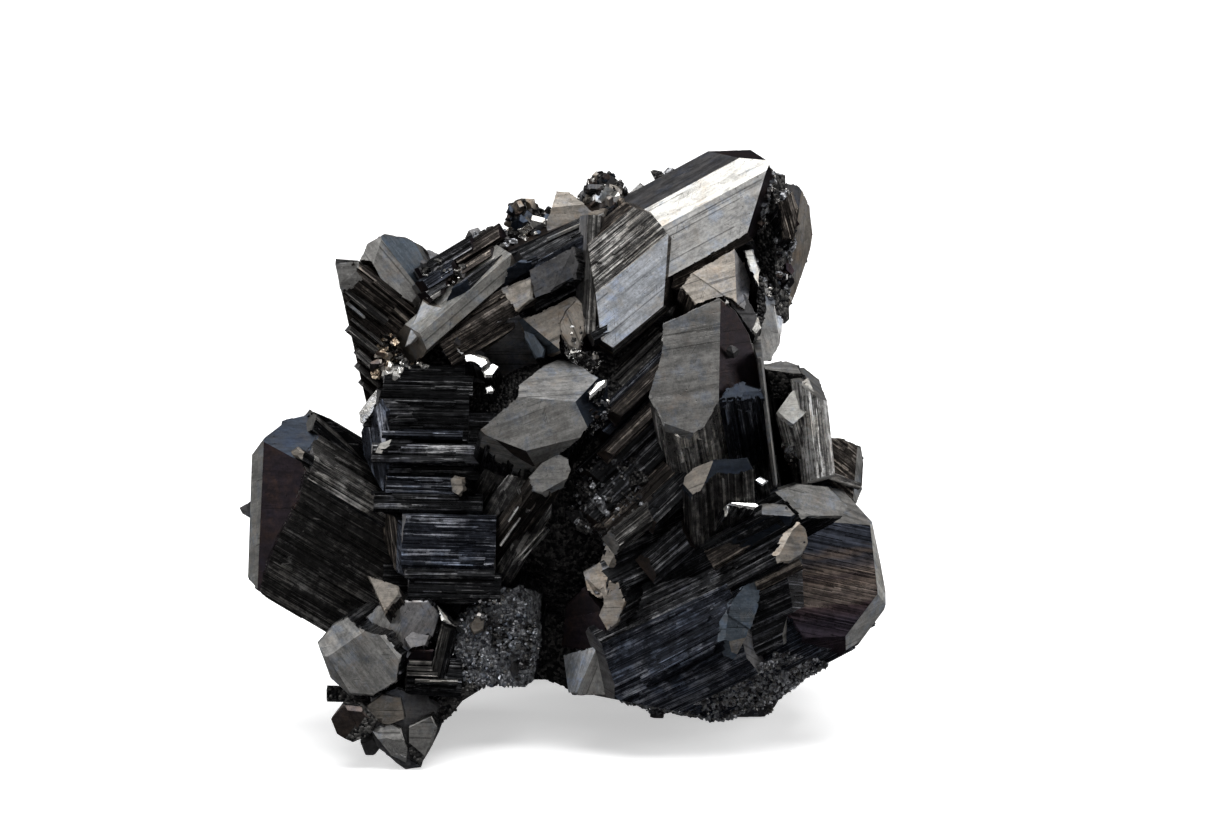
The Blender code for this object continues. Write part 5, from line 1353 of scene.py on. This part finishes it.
# Painted light: these slanted ends use the grey and pale striae, lit copies painted where they face the
# lamps.
for name, outline, near, finish, tone in (
    ("slant_far", [(48.4, 47.0), (49.6, 45.6), (51.8, 45.6), (52.4, 47.6), (50.6, 49.0), (48.8, 48.6)],
     9.2, "grey_striae", 0.35),
    ("slant_end", [(49.6, 49.0), (51.0, 47.2), (53.0, 47.4), (53.8, 49.6), (52.2, 51.0), (50.4, 50.6)],
     10.4, "pale_striae", 0.12),
    ("slant_side", [(51.6, 50.8), (53.6, 49.0), (55.4, 49.4), (55.2, 51.4), (53.6, 53.2), (51.8, 53.0)],
     10.0, "pale_striae", 0.35),
    ("slant_low", [(50.8, 53.6), (52.0, 52.6), (53.6, 53.2), (53.2, 54.8), (51.6, 55.6)], 9.6,
     "grey_striae", 0.80),
):
    stub(name, outline,
         near=near, lean=(0.1, -0.3), axis=SLANT_DOWN, length=11, face=finish, side=finish, lines=-60.0,
         tone=tone)
# Painted light: the splinters are pale striae, light painted on thin edges that catch the lamps.
for name, start, end, near, thick in (
    ("splinter_a", (53.1, 51.0), (52.2, 48.7), 12.4, 0.42),
    ("splinter_b", (51.4, 56.2), (54.6, 52.6), 11.2, 0.16),
    ("splinter_c", (50.2, 54.4), (53.4, 49.8), 11.3, 0.16),
    ("splinter_d", (52.3, 55.8), (54.9, 52.9), 11.2, 0.12),
    ("splinter_e", (51.0, 52.0), (52.6, 49.6), 12.0, 0.12),
    ("splinter_f", (53.4, 50.4), (54.2, 49.4), 12.6, 0.3),
):
    blade(name, (*start, near), (*end, near + 0.3),
          [(thick, -0.2), (thick * 0.4, 0.3), (-thick * 0.5, 0.3), (-thick, 0.0), (-thick, -2),
           (thick, -2)],
          sides=("pale_striae",), end_face="warm_face", tone=0.3)
unite("stack_crystals")

# %% [markdown]
# ## The middle
#
# The crystal in the middle, bright under the lamps, ends in three faces: the top one mirrors the
# overhead lamp and is painted silver for it as well, the front one is grey with wavy growth lines,
# and the right one is dark. All crystals root in a rough heart.

# %% Centre
stub("bright_knob", [(48.2, 43.0), (50.0, 41.4), (52.0, 39.6), (52.0, 38.5), (54.5, 36.5), (56.0, 35.8),
                     (57.5, 36.2), (59.8, 37.8), (60.8, 38.0), (60.9, 41.0), (59.4, 42.1), (58.0, 43.8),
                     (54.0, 47.0), (52.6, 46.9), (50.0, 45.4), (48.4, 44.0)],
     near=14.6, lean=(-0.05, 0.18), axis=(-0.12, 0.40, -0.91), length=16,
     folds=[((52.0, 39.7), (57.6, 40.2), 1.3), ((57.6, 40.2), (58.6, 42.3), 1.1),
            ((48.3, 43.3), (54.0, 45.5), 1.7)], fold_faces=("silver_face", "blue_face", "bronze_face"),
     lines=-22.0, tone=0.22, terraces=0)
stub("knob_sheet", [(49.4, 42.6), (51.4, 40.8), (54.4, 41.0), (57.2, 40.9), (58.4, 42.4), (55.4, 43.6),
                    (51.6, 43.6)],
     near=14.72, lean=(-0.05, 0.18), axis=(-0.12, 0.40, -0.91), length=4, lines=-22.0, tone=0.22,
     terraces=0)
# Painted highlight: the rim is painted near white to stand in for the glint along it.
stub("knob_rim", [(58.9, 39.2), (59.6, 38.3), (60.7, 37.9), (60.7, 38.5), (59.7, 39.3), (59.0, 39.9)],
     near=13.4, lean=(0.0, 0.6), axis=(-0.12, 0.40, -0.91), length=4, face="glint_face")
stub("small_knob", [(53.0, 47.6), (54.4, 46.0), (56.0, 45.1), (56.9, 45.6), (57.2, 46.9), (56.6, 48.4),
                    (54.8, 49.4), (53.4, 49.0)],
     near=14.2, lean=(0.0, 0.1), axis=(-0.45, 0.62, -0.65), length=13, side="brown_striae", tone=0.22,
     terraces=0)
# Where the dark crust of the heart shows in the gaps between crystals, its dark colour also paints the
# shade that falls there.
HEART_MIDDLE = (59.5, 46.5, -5.5)
HEART_RADII = (19.0, 13.0, 17.0)
bpy.ops.object.select_all(action="DESELECT")
bpy.ops.mesh.primitive_ico_sphere_add(subdivisions=3, radius=1.0, location=(0, 0, 0))
heart = bpy.context.active_object
heart.name = "heart"
heart.data.transform(Matrix.Diagonal((*[radius * MM for radius in HEART_RADII], 1.0)))
heart.data.transform(Matrix.Translation(place(*HEART_MIDDLE)))
give_palette(heart.data)
for face in heart.data.polygons:
    face.material_index = SLOT_OF["dark_crust"]
chart(heart, heading(0, 0, 1), 0.0, 0.2, random.Random("heart"))
bpy.context.scene.collection.objects.unlink(heart)
growths.append(heart)
unite("centre_crystals")

# %% [markdown]
# ## The lower left
#
# Blocky crystals and broken matrix run down to the tip that carries the front of the cluster.

# %% Lower left
stub("grey_block", [(32.0, 64.0), (33.5, 62.2), (35.0, 61.4), (36.6, 62.6), (38.8, 63.2), (40.4, 65.2),
                    (40.0, 67.8), (37.6, 69.2), (35.2, 69.2), (33.4, 67.6)],
     near=13.4, lean=(0.1, 0.0), axis=(0.3, -0.2, -0.93), length=16,
     folds=[((33.2, 65.3), (36.8, 62.8), 1.2), ((33.2, 65.3), (35.6, 69.2), 0.9)],
     fold_faces=("silver_face", "grey_face"), lines=50.0, tone=0.6, terraces=0)
stub("pale_tooth", [(37.0, 57.3), (40.1, 58.3), (40.4, 59.3), (38.8, 61.2)],
     near=12.8, lean=(0.15, 0.35), axis=(0.2, 0.35, -0.9), length=8, face="warm_face", tone=0.38,
     side="brown_striae", terraces=0)
stub("grey_saddle", [(36.8, 61.6), (38.4, 60.0), (40.6, 59.8), (43.0, 59.8), (44.2, 61.2), (43.4, 64.0),
                     (41.0, 65.6), (38.8, 64.0)],
     near=11.6, lean=(-0.1, 0.1), axis=(0.1, -0.1, -0.99), length=14,
     folds=[((40.2, 59.8), (40.6, 65.6), 0.5)], face="slate_face", fold_faces=("grey_face",),
     lines=-60.0, tone=1.0, terraces=0)
stub("pale_sliver", [(43.9, 60.2), (44.6, 61.0), (45.8, 62.3), (44.4, 61.8)],
     near=13.4, lean=(0.1, 0.45), axis=(0.2, 0.2, -0.95), length=4, face="pale_face", tone=0.6,
     terraces=0)
stub("saddle_block", [(40.6, 63.6), (41.4, 62.8), (43.4, 63.2), (43.0, 64.2), (41.2, 64.6)],
     near=13.0, lean=(0.0, 0.4), axis=(0.1, 0.2, -0.95), length=6, face="slate_face", tone=0.7)
stub("saddle_foot", [(40.8, 65.8), (41.6, 64.4), (43.6, 64.6), (43.6, 66.6), (41.6, 67.0)],
     near=12.6, lean=(0.0, -0.3), axis=(0.1, 0.1, -0.97), length=6, face="violet_face", tone=0.4)
blade("splint", (45.3, 62.2, 12.6), (44.0, 67.6, 12.2),
      [(0.9, 0.2), (0.5, 0.9), (-0.1, 0.9), (-0.6, 0.6), (-0.8, -5), (0.8, -5)],
      ends=[((45.2, 62.4, 13.0), (0.3, -0.9, 0.3))],
      sides=("grey_striae", "grey_striae", "black_striae"), tone=0.3)
for number, (left, right, down, near) in enumerate((
    (41.2, 43.4, 65.9, 13.0), (41.0, 43.5, 66.45, 13.2), (41.0, 44.0, 67.0, 13.3),
    (41.8, 46.0, 67.7, 13.2),
)):
    blade(f"tread_{number}", (left, down, near), (right, down + 0.1, near - 0.2),
          [(0.3, -0.3), (0.2, 0.25), (-0.15, 0.25), (-0.35, -0.2), (-0.3, -4), (0.3, -4)],
          sides=("grey_striae", "grey_striae", "black_striae"), tone=0.4)
blade("treads", (40.8, 67.2, 11.4), (46.2, 67.6, 10.6),
      [(2.0, -0.4), (1.6, 1.0), (-1.0, 1.6), (-1.8, 0.8), (-1.4, -9), (2.0, -9)])
stub("crusted_lobe", [(45.8, 62.5), (48.0, 60.0), (52.0, 58.4), (54.2, 59.4), (54.2, 64.0),
                      (53.4, 68.0), (50.0, 68.2), (47.2, 68.6), (45.6, 66.0)],
     near=7.4, lean=(-0.15, 0.0), axis=(0.05, -0.3, -0.95), length=14,
     folds=[((52.6, 59.0), (52.4, 67.8), 1.6)], face="grey_crust", terraces=0)
stub("lobe_eye", [(47.0, 62.4), (47.8, 61.3), (48.6, 61.6), (48.5, 62.8), (47.5, 63.3)],
     near=9.0, lean=(0.1, 0.1), axis=(0.05, 0.1, -0.98), length=4, face="warm_face", tone=0.2,
     terraces=0)
stub("dark_hexagon", [(33.5, 71.4), (34.6, 70.2), (36.4, 70.4), (37.8, 71.9), (37.2, 73.2),
                      (35.6, 73.8), (34.1, 72.9)],
     near=13.6, lean=(0.2, -0.1), axis=(0.3, -0.4, -0.85), length=10, face="bronze_face",
     side="dark_crust", tone=0.75)
stub("dark_button", [(36.3, 73.8), (37.5, 73.2), (38.5, 74.2), (37.8, 75.1), (36.8, 75.1)],
     near=12.2, lean=(0.1, -0.1), axis=(0.2, -0.6, -0.75), length=6, face="slate_face",
     side="dark_crust", tone=0.2)
stub("foot", [(37.4, 69.4), (40.0, 68.4), (42.6, 68.8), (44.2, 70.2), (43.6, 72.4), (43.0, 74.6),
              (42.3, 76.4), (41.0, 76.6), (40.0, 75.9), (38.0, 74.2), (37.2, 72.0)],
     near=12.4, lean=(0.0, -0.05), axis=(0.02, -0.24, -0.97), length=18,
     folds=[((40.3, 69.0), (41.4, 76.2), 0.7)], face="slate_face", fold_faces=("slate_face",), tone=0.6)
stub("foot_facet", [(37.6, 72.6), (39.0, 71.6), (40.4, 72.4), (41.0, 74.4), (40.8, 76.0), (39.4, 75.2)],
     near=13.4, lean=(0.05, 0.2), axis=(0.1, -0.2, -0.97), length=7, side="dark_crust", tone=0.75)
stub("foot_flank", [(41.2, 72.2), (43.4, 71.2), (44.0, 72.4), (43.2, 74.6), (42.2, 76.2), (41.2, 75.6)],
     near=12.9, lean=(-0.3, 0.1), axis=(0.1, -0.2, -0.97), length=7, side="dark_crust", tone=0.3)
stub("foot_upper", [(37.0, 70.2), (38.6, 69.0), (40.4, 69.4), (40.8, 71.4), (39.2, 72.0), (37.4, 71.6)],
     near=13.2, lean=(0.1, 0.1), axis=(0.1, -0.2, -0.97), length=7, face="warm_face", side="dark_crust",
     tone=0.1)
stub("foot_crust", [(44.0, 68.8), (46.6, 68.0), (48.0, 68.8), (46.4, 69.8), (45.2, 71.3), (44.2, 72.0)],
     near=8.5, lean=(-0.2, -0.2), axis=(0.2, -0.5, -0.85), length=10, face="dark_crust",
     side="dark_crust")
unite("lower_left_crystals")

# %% [markdown]
# ## The back
#
# The far side is built as the front is: long crystals cross, and shorter ones end in six-sided faces.

# %% Back
BACK_MIDDLE = (59.0, 46.0)
FAN_REACH = 30.0  # from there, a crystal of the back leans out by 45 degrees
BACK_SIDES = ("grey_striae", "black_striae", "blue_striae", "brown_striae")
for number, (name, start, end, out, half) in enumerate((
    ("back_beam_a", (72.5, 27.5), (53.0, 42.0), 18.0, 4.6),
    ("back_beam_b", (50.0, 31.0), (42.5, 57.0), 15.0, 4.4),
    ("back_beam_c", (75.5, 39.0), (73.5, 61.0), 15.5, 4.6),
    ("back_beam_d", (69.0, 41.5), (51.0, 59.5), 22.5, 5.2),
    ("back_beam_e", (82.5, 50.0), (64.0, 65.5), 12.5, 4.4),
    ("back_beam_f", (59.0, 26.0), (45.0, 37.0), 11.5, 3.8),
    ("back_beam_g", (62.5, 40.0), (50.5, 44.5), 23.5, 3.4),
)):
    run = (end[0] - start[0], end[1] - start[1])
    blade(name, (*start, -out), (*end, -out - 1.0),
          [(half, 0.6), (half * 0.6, -2.2), (-half * 0.5, -3.0), (-half, -0.8), (-half * 0.7, 9),
           (half * 0.7, 9)],
          ends=[((start[0] + 0.06 * run[0], start[1] + 0.06 * run[1], -out - 1.5),
                 (-run[0], -run[1], -16)),
                ((end[0] - 0.04 * run[0], end[1] - 0.04 * run[1], -out - 1.5), (run[0], run[1], -11))],
          sides=(BACK_SIDES[number % 4],))
rng = random.Random("back")
for number, (across, down, out, wide, tall) in enumerate((
    (61.5, 34.5, 23.0, 5.6, 4.6), (72.5, 49.5, 23.5, 5.6, 4.8), (58.0, 51.0, 27.5, 6.4, 5.0),
    (78.5, 43.0, 15.0, 4.2, 4.6), (46.5, 42.5, 19.5, 4.8, 4.0), (62.5, 61.0, 24.5, 6.0, 4.4),
    (68.0, 31.0, 17.5, 4.6, 3.6), (52.0, 30.0, 14.0, 4.0, 3.4), (39.5, 50.5, 9.5, 4.6, 4.0),
    (74.0, 61.5, 15.0, 5.2, 4.0), (43.0, 61.5, 13.0, 4.6, 4.4), (82.5, 56.5, 7.5, 4.0, 4.4),
    (66.5, 55.5, 26.0, 4.8, 3.8), (49.0, 52.5, 22.0, 4.6, 4.2),
)):
    tilt = rng.uniform(0, pi)
    outline = []
    for corner in range(6):
        angle = corner * pi / 3 + rng.uniform(-0.25, 0.25)
        u, v = wide * cos(angle), tall * sin(angle)
        outline.append((across + u * cos(tilt) - v * sin(tilt), down + u * sin(tilt) + v * cos(tilt)))
    fan = ((BACK_MIDDLE[0] - across) / FAN_REACH, (BACK_MIDDLE[1] - down) / FAN_REACH)
    first = rng.randrange(6)
    folds = [(outline[first], outline[(first + 2) % 6], rng.uniform(0.7, 1.5)),
             (outline[(first + 3) % 6], outline[(first + 4) % 6], rng.uniform(0.3, 0.6))]
    stub(f"rear_stub_{number:02d}", outline,
         near=out, lean=(0.5 * fan[0], 0.5 * fan[1]), axis=(fan[0], fan[1], -1.0), length=15,
         folds=folds, facing=-1,
         face=("grey_face", "warm_face", "steel_face", "slate_face", "bronze_face")[number % 5],
         side=BACK_SIDES[number % 3])
blade("heel", (54.6, 54.0, -21.0), (50.5, 72.0, -23.5),
      [(5.4, 1.0), (3.6, 3.6), (-3.5, 3.4), (-5.6, 0.6), (-3.6, -4.4), (3.0, -5.0)])
blade("heel_spur", (56.5, 56.0, -22.0), (60.0, 72.0, -21.5),
      [(4.6, 0.8), (2.6, 2.6), (-3.0, 2.4), (-4.4, -1.0), (-1.6, -4.6), (2.8, -3.8)])
unite("back_crystals")

# %% [markdown]
# ## Late crystals
#
# Small crystals grew last. They crowd the top edge, the corners between the big ones and the broken
# foot, and they are what sparkles; much of that sparkle is painted, near-white grains that stand in
# for glints of lamp light. Three of them are modelled, a tablet, a wedge and a spear, each with a few
# faces only, because there are thousands. An array of copies is turned, sized and joined in one mesh.

# %% Three small crystals
def grain_pattern(name, corners, radius, depth, cuts):
    """A small crystal, about 1 across and standing along Z, cut by each (point, outward)."""
    bpy.ops.object.select_all(action="DESELECT")
    bpy.ops.mesh.primitive_cylinder_add(vertices=corners, radius=radius, depth=depth,
                                        location=(0, 0, 0))
    pattern = bpy.context.active_object
    pattern.name = name
    bpy.ops.object.mode_set(mode="EDIT")
    for point, outward in cuts:
        slice_off(point, outward)
    face_outwards()
    bpy.ops.object.mode_set(mode="OBJECT")
    corners = np.array([vertex.co for vertex in pattern.data.vertices])
    faces = [list(face.vertices) for face in pattern.data.polygons]
    bpy.data.objects.remove(pattern)
    return corners, faces


GRAINS = [
    grain_pattern("tablet", 6, 0.58, 0.62,
                  [((0.42, 0, 0.25), (1, 0.2, 0.9)), ((-0.4, 0.2, 0.25), (-1, 0.6, 1.1))]),
    grain_pattern("wedge", 4, 0.66, 0.9,
                  [((0.2, 0.3, 0.3), (0.8, 0.5, 1)), ((-0.3, 0, 0.35), (-0.9, 0.1, 0.7))]),
    grain_pattern("spear", 5, 0.36, 1.5,
                  [((0.2, 0, 0.6), (1, 0, 0.7)), ((-0.2, 0.1, 0.6), (-0.8, 0.6, 0.8)),
                   ((-0.1, -0.2, 0.6), (-0.4, -1, 0.7))]),
]
print("faces of a tablet, a wedge and a spear:", [len(faces) for _, faces in GRAINS])

# %% Placing them
def blocks(name, middle, spread, size, count):
    """Where the larger late crystals lie about middle, spread as far as (across, down, near)."""
    rng = random.Random(name)
    placed = []
    for number in range(count):
        shape = Matrix.Diagonal([size * MM * rng.uniform(0.7, 1.5) for _ in range(3)]).to_4x4()
        turn = Euler([rng.uniform(0, pi) for _ in range(3)]).to_matrix().to_4x4()
        spot = [at + reach * rng.uniform(-1, 1) for at, reach in zip(middle, spread)]
        placed.append(Matrix.Translation(place(*spot)) @ turn @ shape)
    return placed


def skin_of(solid, draw, count):
    """Random spots all over the skin of the solid, the outward directions there, and where they lie
    on the board."""
    mesh = solid.data
    mesh.calc_loop_triangles()
    vertices = np.array([vertex.co for vertex in mesh.vertices])
    corners = vertices[np.array([triangle.vertices for triangle in mesh.loop_triangles])]
    outward = np.cross(corners[:, 1] - corners[:, 0], corners[:, 2] - corners[:, 0])
    areas = np.linalg.norm(outward, axis=1)
    chosen = draw.choice(len(corners), size=count, p=areas / areas.sum())
    corners, outward = corners[chosen], outward[chosen] / areas[chosen][:, None]
    first, second = draw.random((2, count, 1))
    over = first + second > 1.0
    first, second = np.where(over, 1.0 - first, first), np.where(over, 1.0 - second, second)
    spots = corners[:, 0] + first * (corners[:, 1] - corners[:, 0])
    spots = spots + second * (corners[:, 2] - corners[:, 0])
    return spots, outward, on_board(spots)


def scatter(skin, draw, middle, spread, sizes, count):
    """Grains that root in the skin inside an ellipsoid of the board, standing out of it."""
    spots, outward, board = skin
    inside = np.flatnonzero((((board - middle) / spread) ** 2).sum(axis=1) < 1.0)
    placed = []
    for chosen in draw.choice(inside, size=min(count, len(inside)), replace=False):
        size = sizes[0] * (sizes[1] / sizes[0]) ** (draw.random() ** 1.6) * MM
        out = (Vector(outward[chosen]) + Vector(draw.normal(0.0, 0.38, 3))).normalized()
        turn = out.to_track_quat("Z", "Y").to_matrix() @ Matrix.Rotation(draw.random() * 2 * pi, 3, "Z")
        shape = Matrix.Diagonal(size * draw.uniform(0.7, 1.35, 3))
        placed.append(Matrix.Translation(Vector(spots[chosen])) @ (turn @ shape).to_4x4())
    return placed


def join_grains(name, batches):
    """One mesh of all grains. Each batch is (matrices, finishes), and every grain draws one finish."""
    draw = np.random.default_rng(len(name))
    corners, faces, slots, tones, used = [], [], [], [], 0
    for placed, finishes in batches:
        for matrix in placed:
            pattern, sides = GRAINS[draw.integers(len(GRAINS))]
            grown = pattern @ np.array(matrix.to_3x3()).T + np.array(matrix.translation)
            slot = SLOT_OF[finishes[draw.integers(len(finishes))]]
            if (grown < np.array(cad_low)).any() or (grown > np.array(cad_high)).any():
                continue
            corners.append(grown)
            faces += [[corner + used for corner in side] for side in sides]
            slots += [slot] * len(sides)
            tones += list(draw.random(len(sides)))
            used += len(grown)
    mesh = bpy.data.meshes.new(name)
    mesh.from_pydata(np.concatenate(corners), [], faces)
    piece = bpy.data.objects.new(name, mesh)
    bpy.context.scene.collection.objects.link(piece)
    give_palette(mesh)
    mesh.polygons.foreach_set("material_index", slots)
    mesh.attributes.new("tone", "FLOAT", "FACE").data.foreach_set("value", tones)
    growth = mesh.uv_layers.new(name="growth")
    flat = np.array([vertex.co for vertex in mesh.vertices])[:, (0, 2)] / MM
    order = np.empty(len(mesh.loops), dtype=np.int32)
    mesh.loops.foreach_get("vertex_index", order)
    growth.data.foreach_set("uv", flat[order].ravel())
    pick(piece)
    bpy.ops.object.material_slot_remove_unused()
    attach(piece, "root")
    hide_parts("chalcocite_cluster")
    mesh.calc_loop_triangles()
    print(f"{name}: {len(corners)} grains, {len(mesh.loop_triangles)} triangles")


# %% [markdown]
# Along the top edge the small crystals are coarse and stand in nests; one nest near the middle is
# almost mirror bright, its brightness painted into pale, silver and near-white facets. In the corners
# they are a dark crust with sparks in it, sparks that are painted highlights of near-white crumbs,
# and around the foot they are the broken matrix.

# %% Nests and crusts
SKIN_SPOTS = 500000
draw = np.random.default_rng(7)
skin = skin_of(frame["nodes"]["chalcocite_cluster"], draw, SKIN_SPOTS)
# Painted highlights: the near-white crust in SPARKS, NEST and WING and the pale and silver facets of
# BRIGHT stand in for sparks of lamp light.
DARK = ("dark_crust", "dark_crust", "slate_face", "grey_crust")
SPARKS = ("grey_crust", "slate_face", "dark_crust", "grey_crust", "bronze_face", "grey_face",
          "glint_crust")
NEST = ("bronze_face", "slate_face", "glint_crust", "warm_face", "blue_face", "dark_crust")
BRIGHT = ("silver_face", "warm_face", "pale_face")
RICH = ("gold_crust", "warm_face", "bronze_face", "dark_crust")
LOBE = ("grey_crust", "slate_face", "steel_face", "grey_face", "steel_face")
KEEL = ("grey_crust", "slate_face", "grey_crust", "grey_face")
FOOT = ("dark_crust", "dark_crust", "slate_face", "dark_crust")
WING = ("grey_crust", "steel_face", "grey_face", "grey_face", "grey_crust", "slate_face", "grey_crust",
        "glint_crust", "bronze_face", "grey_face", "glint_crust")

join_grains("top_nests", [
    (blocks("upper_crust", (45.6, 27.8, 1.6), (1.8, 1.5, 1.2), 2.3, 8), DARK),
    (blocks("ridge_crust", (49.0, 24.6, 0.5), (1.2, 0.9, 1.2), 2.0, 6), DARK),
    (blocks("crown_ball", (53.0, 22.4, 0.0), (0.9, 0.9, 1.2), 1.9, 6), DARK),
    (blocks("crown_nest", (60.2, 19.4, -1.0), (1.2, 1.0, 1.2), 1.8, 8), DARK),
    (blocks("edge_grains", (67.3, 17.6, -3.2), (1.8, 0.4, 0.6), 1.2, 3), DARK),
    (scatter(skin, draw, (45.6, 27.6, 2.0), (3.6, 2.6, 3.0), (0.2, 0.7), 160), DARK),
    (scatter(skin, draw, (49.5, 24.8, 1.0), (2.6, 1.8, 3.0), (0.2, 0.8), 160), DARK),
    (scatter(skin, draw, (52.8, 22.4, 0.5), (2.2, 2.2, 3.0), (0.45, 1.3), 90), NEST),
    (blocks("ball_facets", (53.2, 22.6, 1.6), (0.7, 0.5, 0.1), 1.4, 3), BRIGHT),
    (scatter(skin, draw, (60.3, 19.4, -0.5), (2.4, 2.2, 3.0), (0.45, 1.3), 100), NEST),
    (blocks("nest_facets", (60.2, 20.0, 0.8), (1.0, 0.4, 0.1), 1.3, 4), BRIGHT),
    (scatter(skin, draw, (56.6, 24.4, 2.5), (1.4, 0.8, 2.0), (0.15, 0.4), 60), SPARKS),
])
join_grains("right_crust", [
    (blocks("wing_crust", (77.6, 24.0, 1.0), (0.8, 5.0, 1.0), 1.8, 8), ("grey_crust", "violet_face")),
    (scatter(skin, draw, (77.4, 24.0, 1.5), (2.0, 7.4, 4.5), (0.14, 0.6), 1300), WING),
])
join_grains("middle_crust", [
    # Painted highlights: the near-white grains and blocks of this crust stand in for glints of lamp
    # light.
    (blocks("sparkle", (57.2, 35.0, 7.4), (1.8, 1.6, 1.2), 1.2, 7), SPARKS),
    (blocks("gold_crust", (38.6, 36.6, 3.0), (1.4, 1.8, 1.5), 1.5, 7), RICH),
    (blocks("elbow_crust", (61.0, 49.5, 10.6), (3.2, 3.6, 0.8), 1.4, 6), DARK),
    (scatter(skin, draw, (57.4, 34.4, 8.0), (1.0, 2.0, 2.5), (0.2, 0.8), 90),
     ("glint_face", "pale_face", "dark_crust")),
    (scatter(skin, draw, (59.2, 36.6, 7.5), (1.6, 1.2, 3.0), (0.15, 0.5), 120),
     ("glint_face", "dark_crust", "dark_crust")),
    (scatter(skin, draw, (39.0, 35.6, 4.0), (1.6, 2.2, 3.0), (0.2, 0.9), 160), RICH),
    (scatter(skin, draw, (40.0, 36.6, 5.0), (1.6, 1.2, 3.0), (0.2, 0.6), 90),
     ("glint_face", "gold_crust", "dark_crust")),
    (blocks("bright_rubble", (39.5, 37.0, 6.9), (0.8, 0.8, 0.2), 0.7, 12),
     ("glint_face", "glint_face", "pale_face")),
    (blocks("gold_rubble", (38.2, 36.4, 6.6), (0.8, 1.1, 0.3), 0.7, 12),
     ("gold_crust", "warm_face", "bronze_face")),
    (blocks("fleck_rubble", (41.6, 36.6, 7.4), (1.4, 0.25, 0.2), 0.25, 12),
     ("glint_face", "pale_face")),
    (blocks("crown_flakes", (44.4, 27.7, 5.4), (2.2, 1.5, 0.4), 0.7, 20),
     ("dark_crust", "slate_face", "bronze_face")),
    (blocks("crown_glints", (44.2, 28.0, 6.1), (1.8, 1.2, 0.2), 0.2, 20), ("glint_face", "grey_face")),
    (scatter(skin, draw, (61.0, 49.8, 10.0), (4.2, 4.6, 3.5), (0.15, 0.6), 360), DARK),
    (scatter(skin, draw, (59.6, 41.6, 11.0), (1.6, 2.4, 3.0), (0.12, 0.4), 160), SPARKS),
    (scatter(skin, draw, (79.0, 44.4, 4.0), (1.4, 2.4, 4.0), (0.15, 0.6), 140), SPARKS),
])
join_grains("foot_matrix", [
    (blocks("foot_grains", (37.2, 69.8, 9.6), (2.4, 1.0, 1.8), 2.0, 7), FOOT),
    (blocks("lobe_crust", (49.5, 64.5, 7.2), (3.6, 3.2, 0.5), 1.7, 9), DARK),
    (blocks("keel_crust", (69.5, 70.0, 1.0), (5.0, 0.8, 1.5), 1.6, 8), DARK),
    (blocks("heel_grains", (53.5, 65.0, -22.0), (7.0, 2.0, 5.0), 2.6, 4), DARK),
    (scatter(skin, draw, (40.0, 71.7, 5.5), (5.8, 5.2, 6.5), (0.15, 0.6), 700), DARK),
    (scatter(skin, draw, (77.0, 67.5, 5.0), (6.0, 3.6, 7.0), (0.15, 0.45), 1500), KEEL),
    (scatter(skin, draw, (49.8, 64.0, 7.0), (5.0, 5.5, 4.0), (0.14, 0.5), 1900), LOBE),
    (scatter(skin, draw, (72.0, 69.5, 0.0), (10.0, 4.0, 10.0), (0.15, 0.6), 1900), KEEL),
])

# %% Clearing away the rib pattern
bpy.data.objects.remove(rib_pattern)
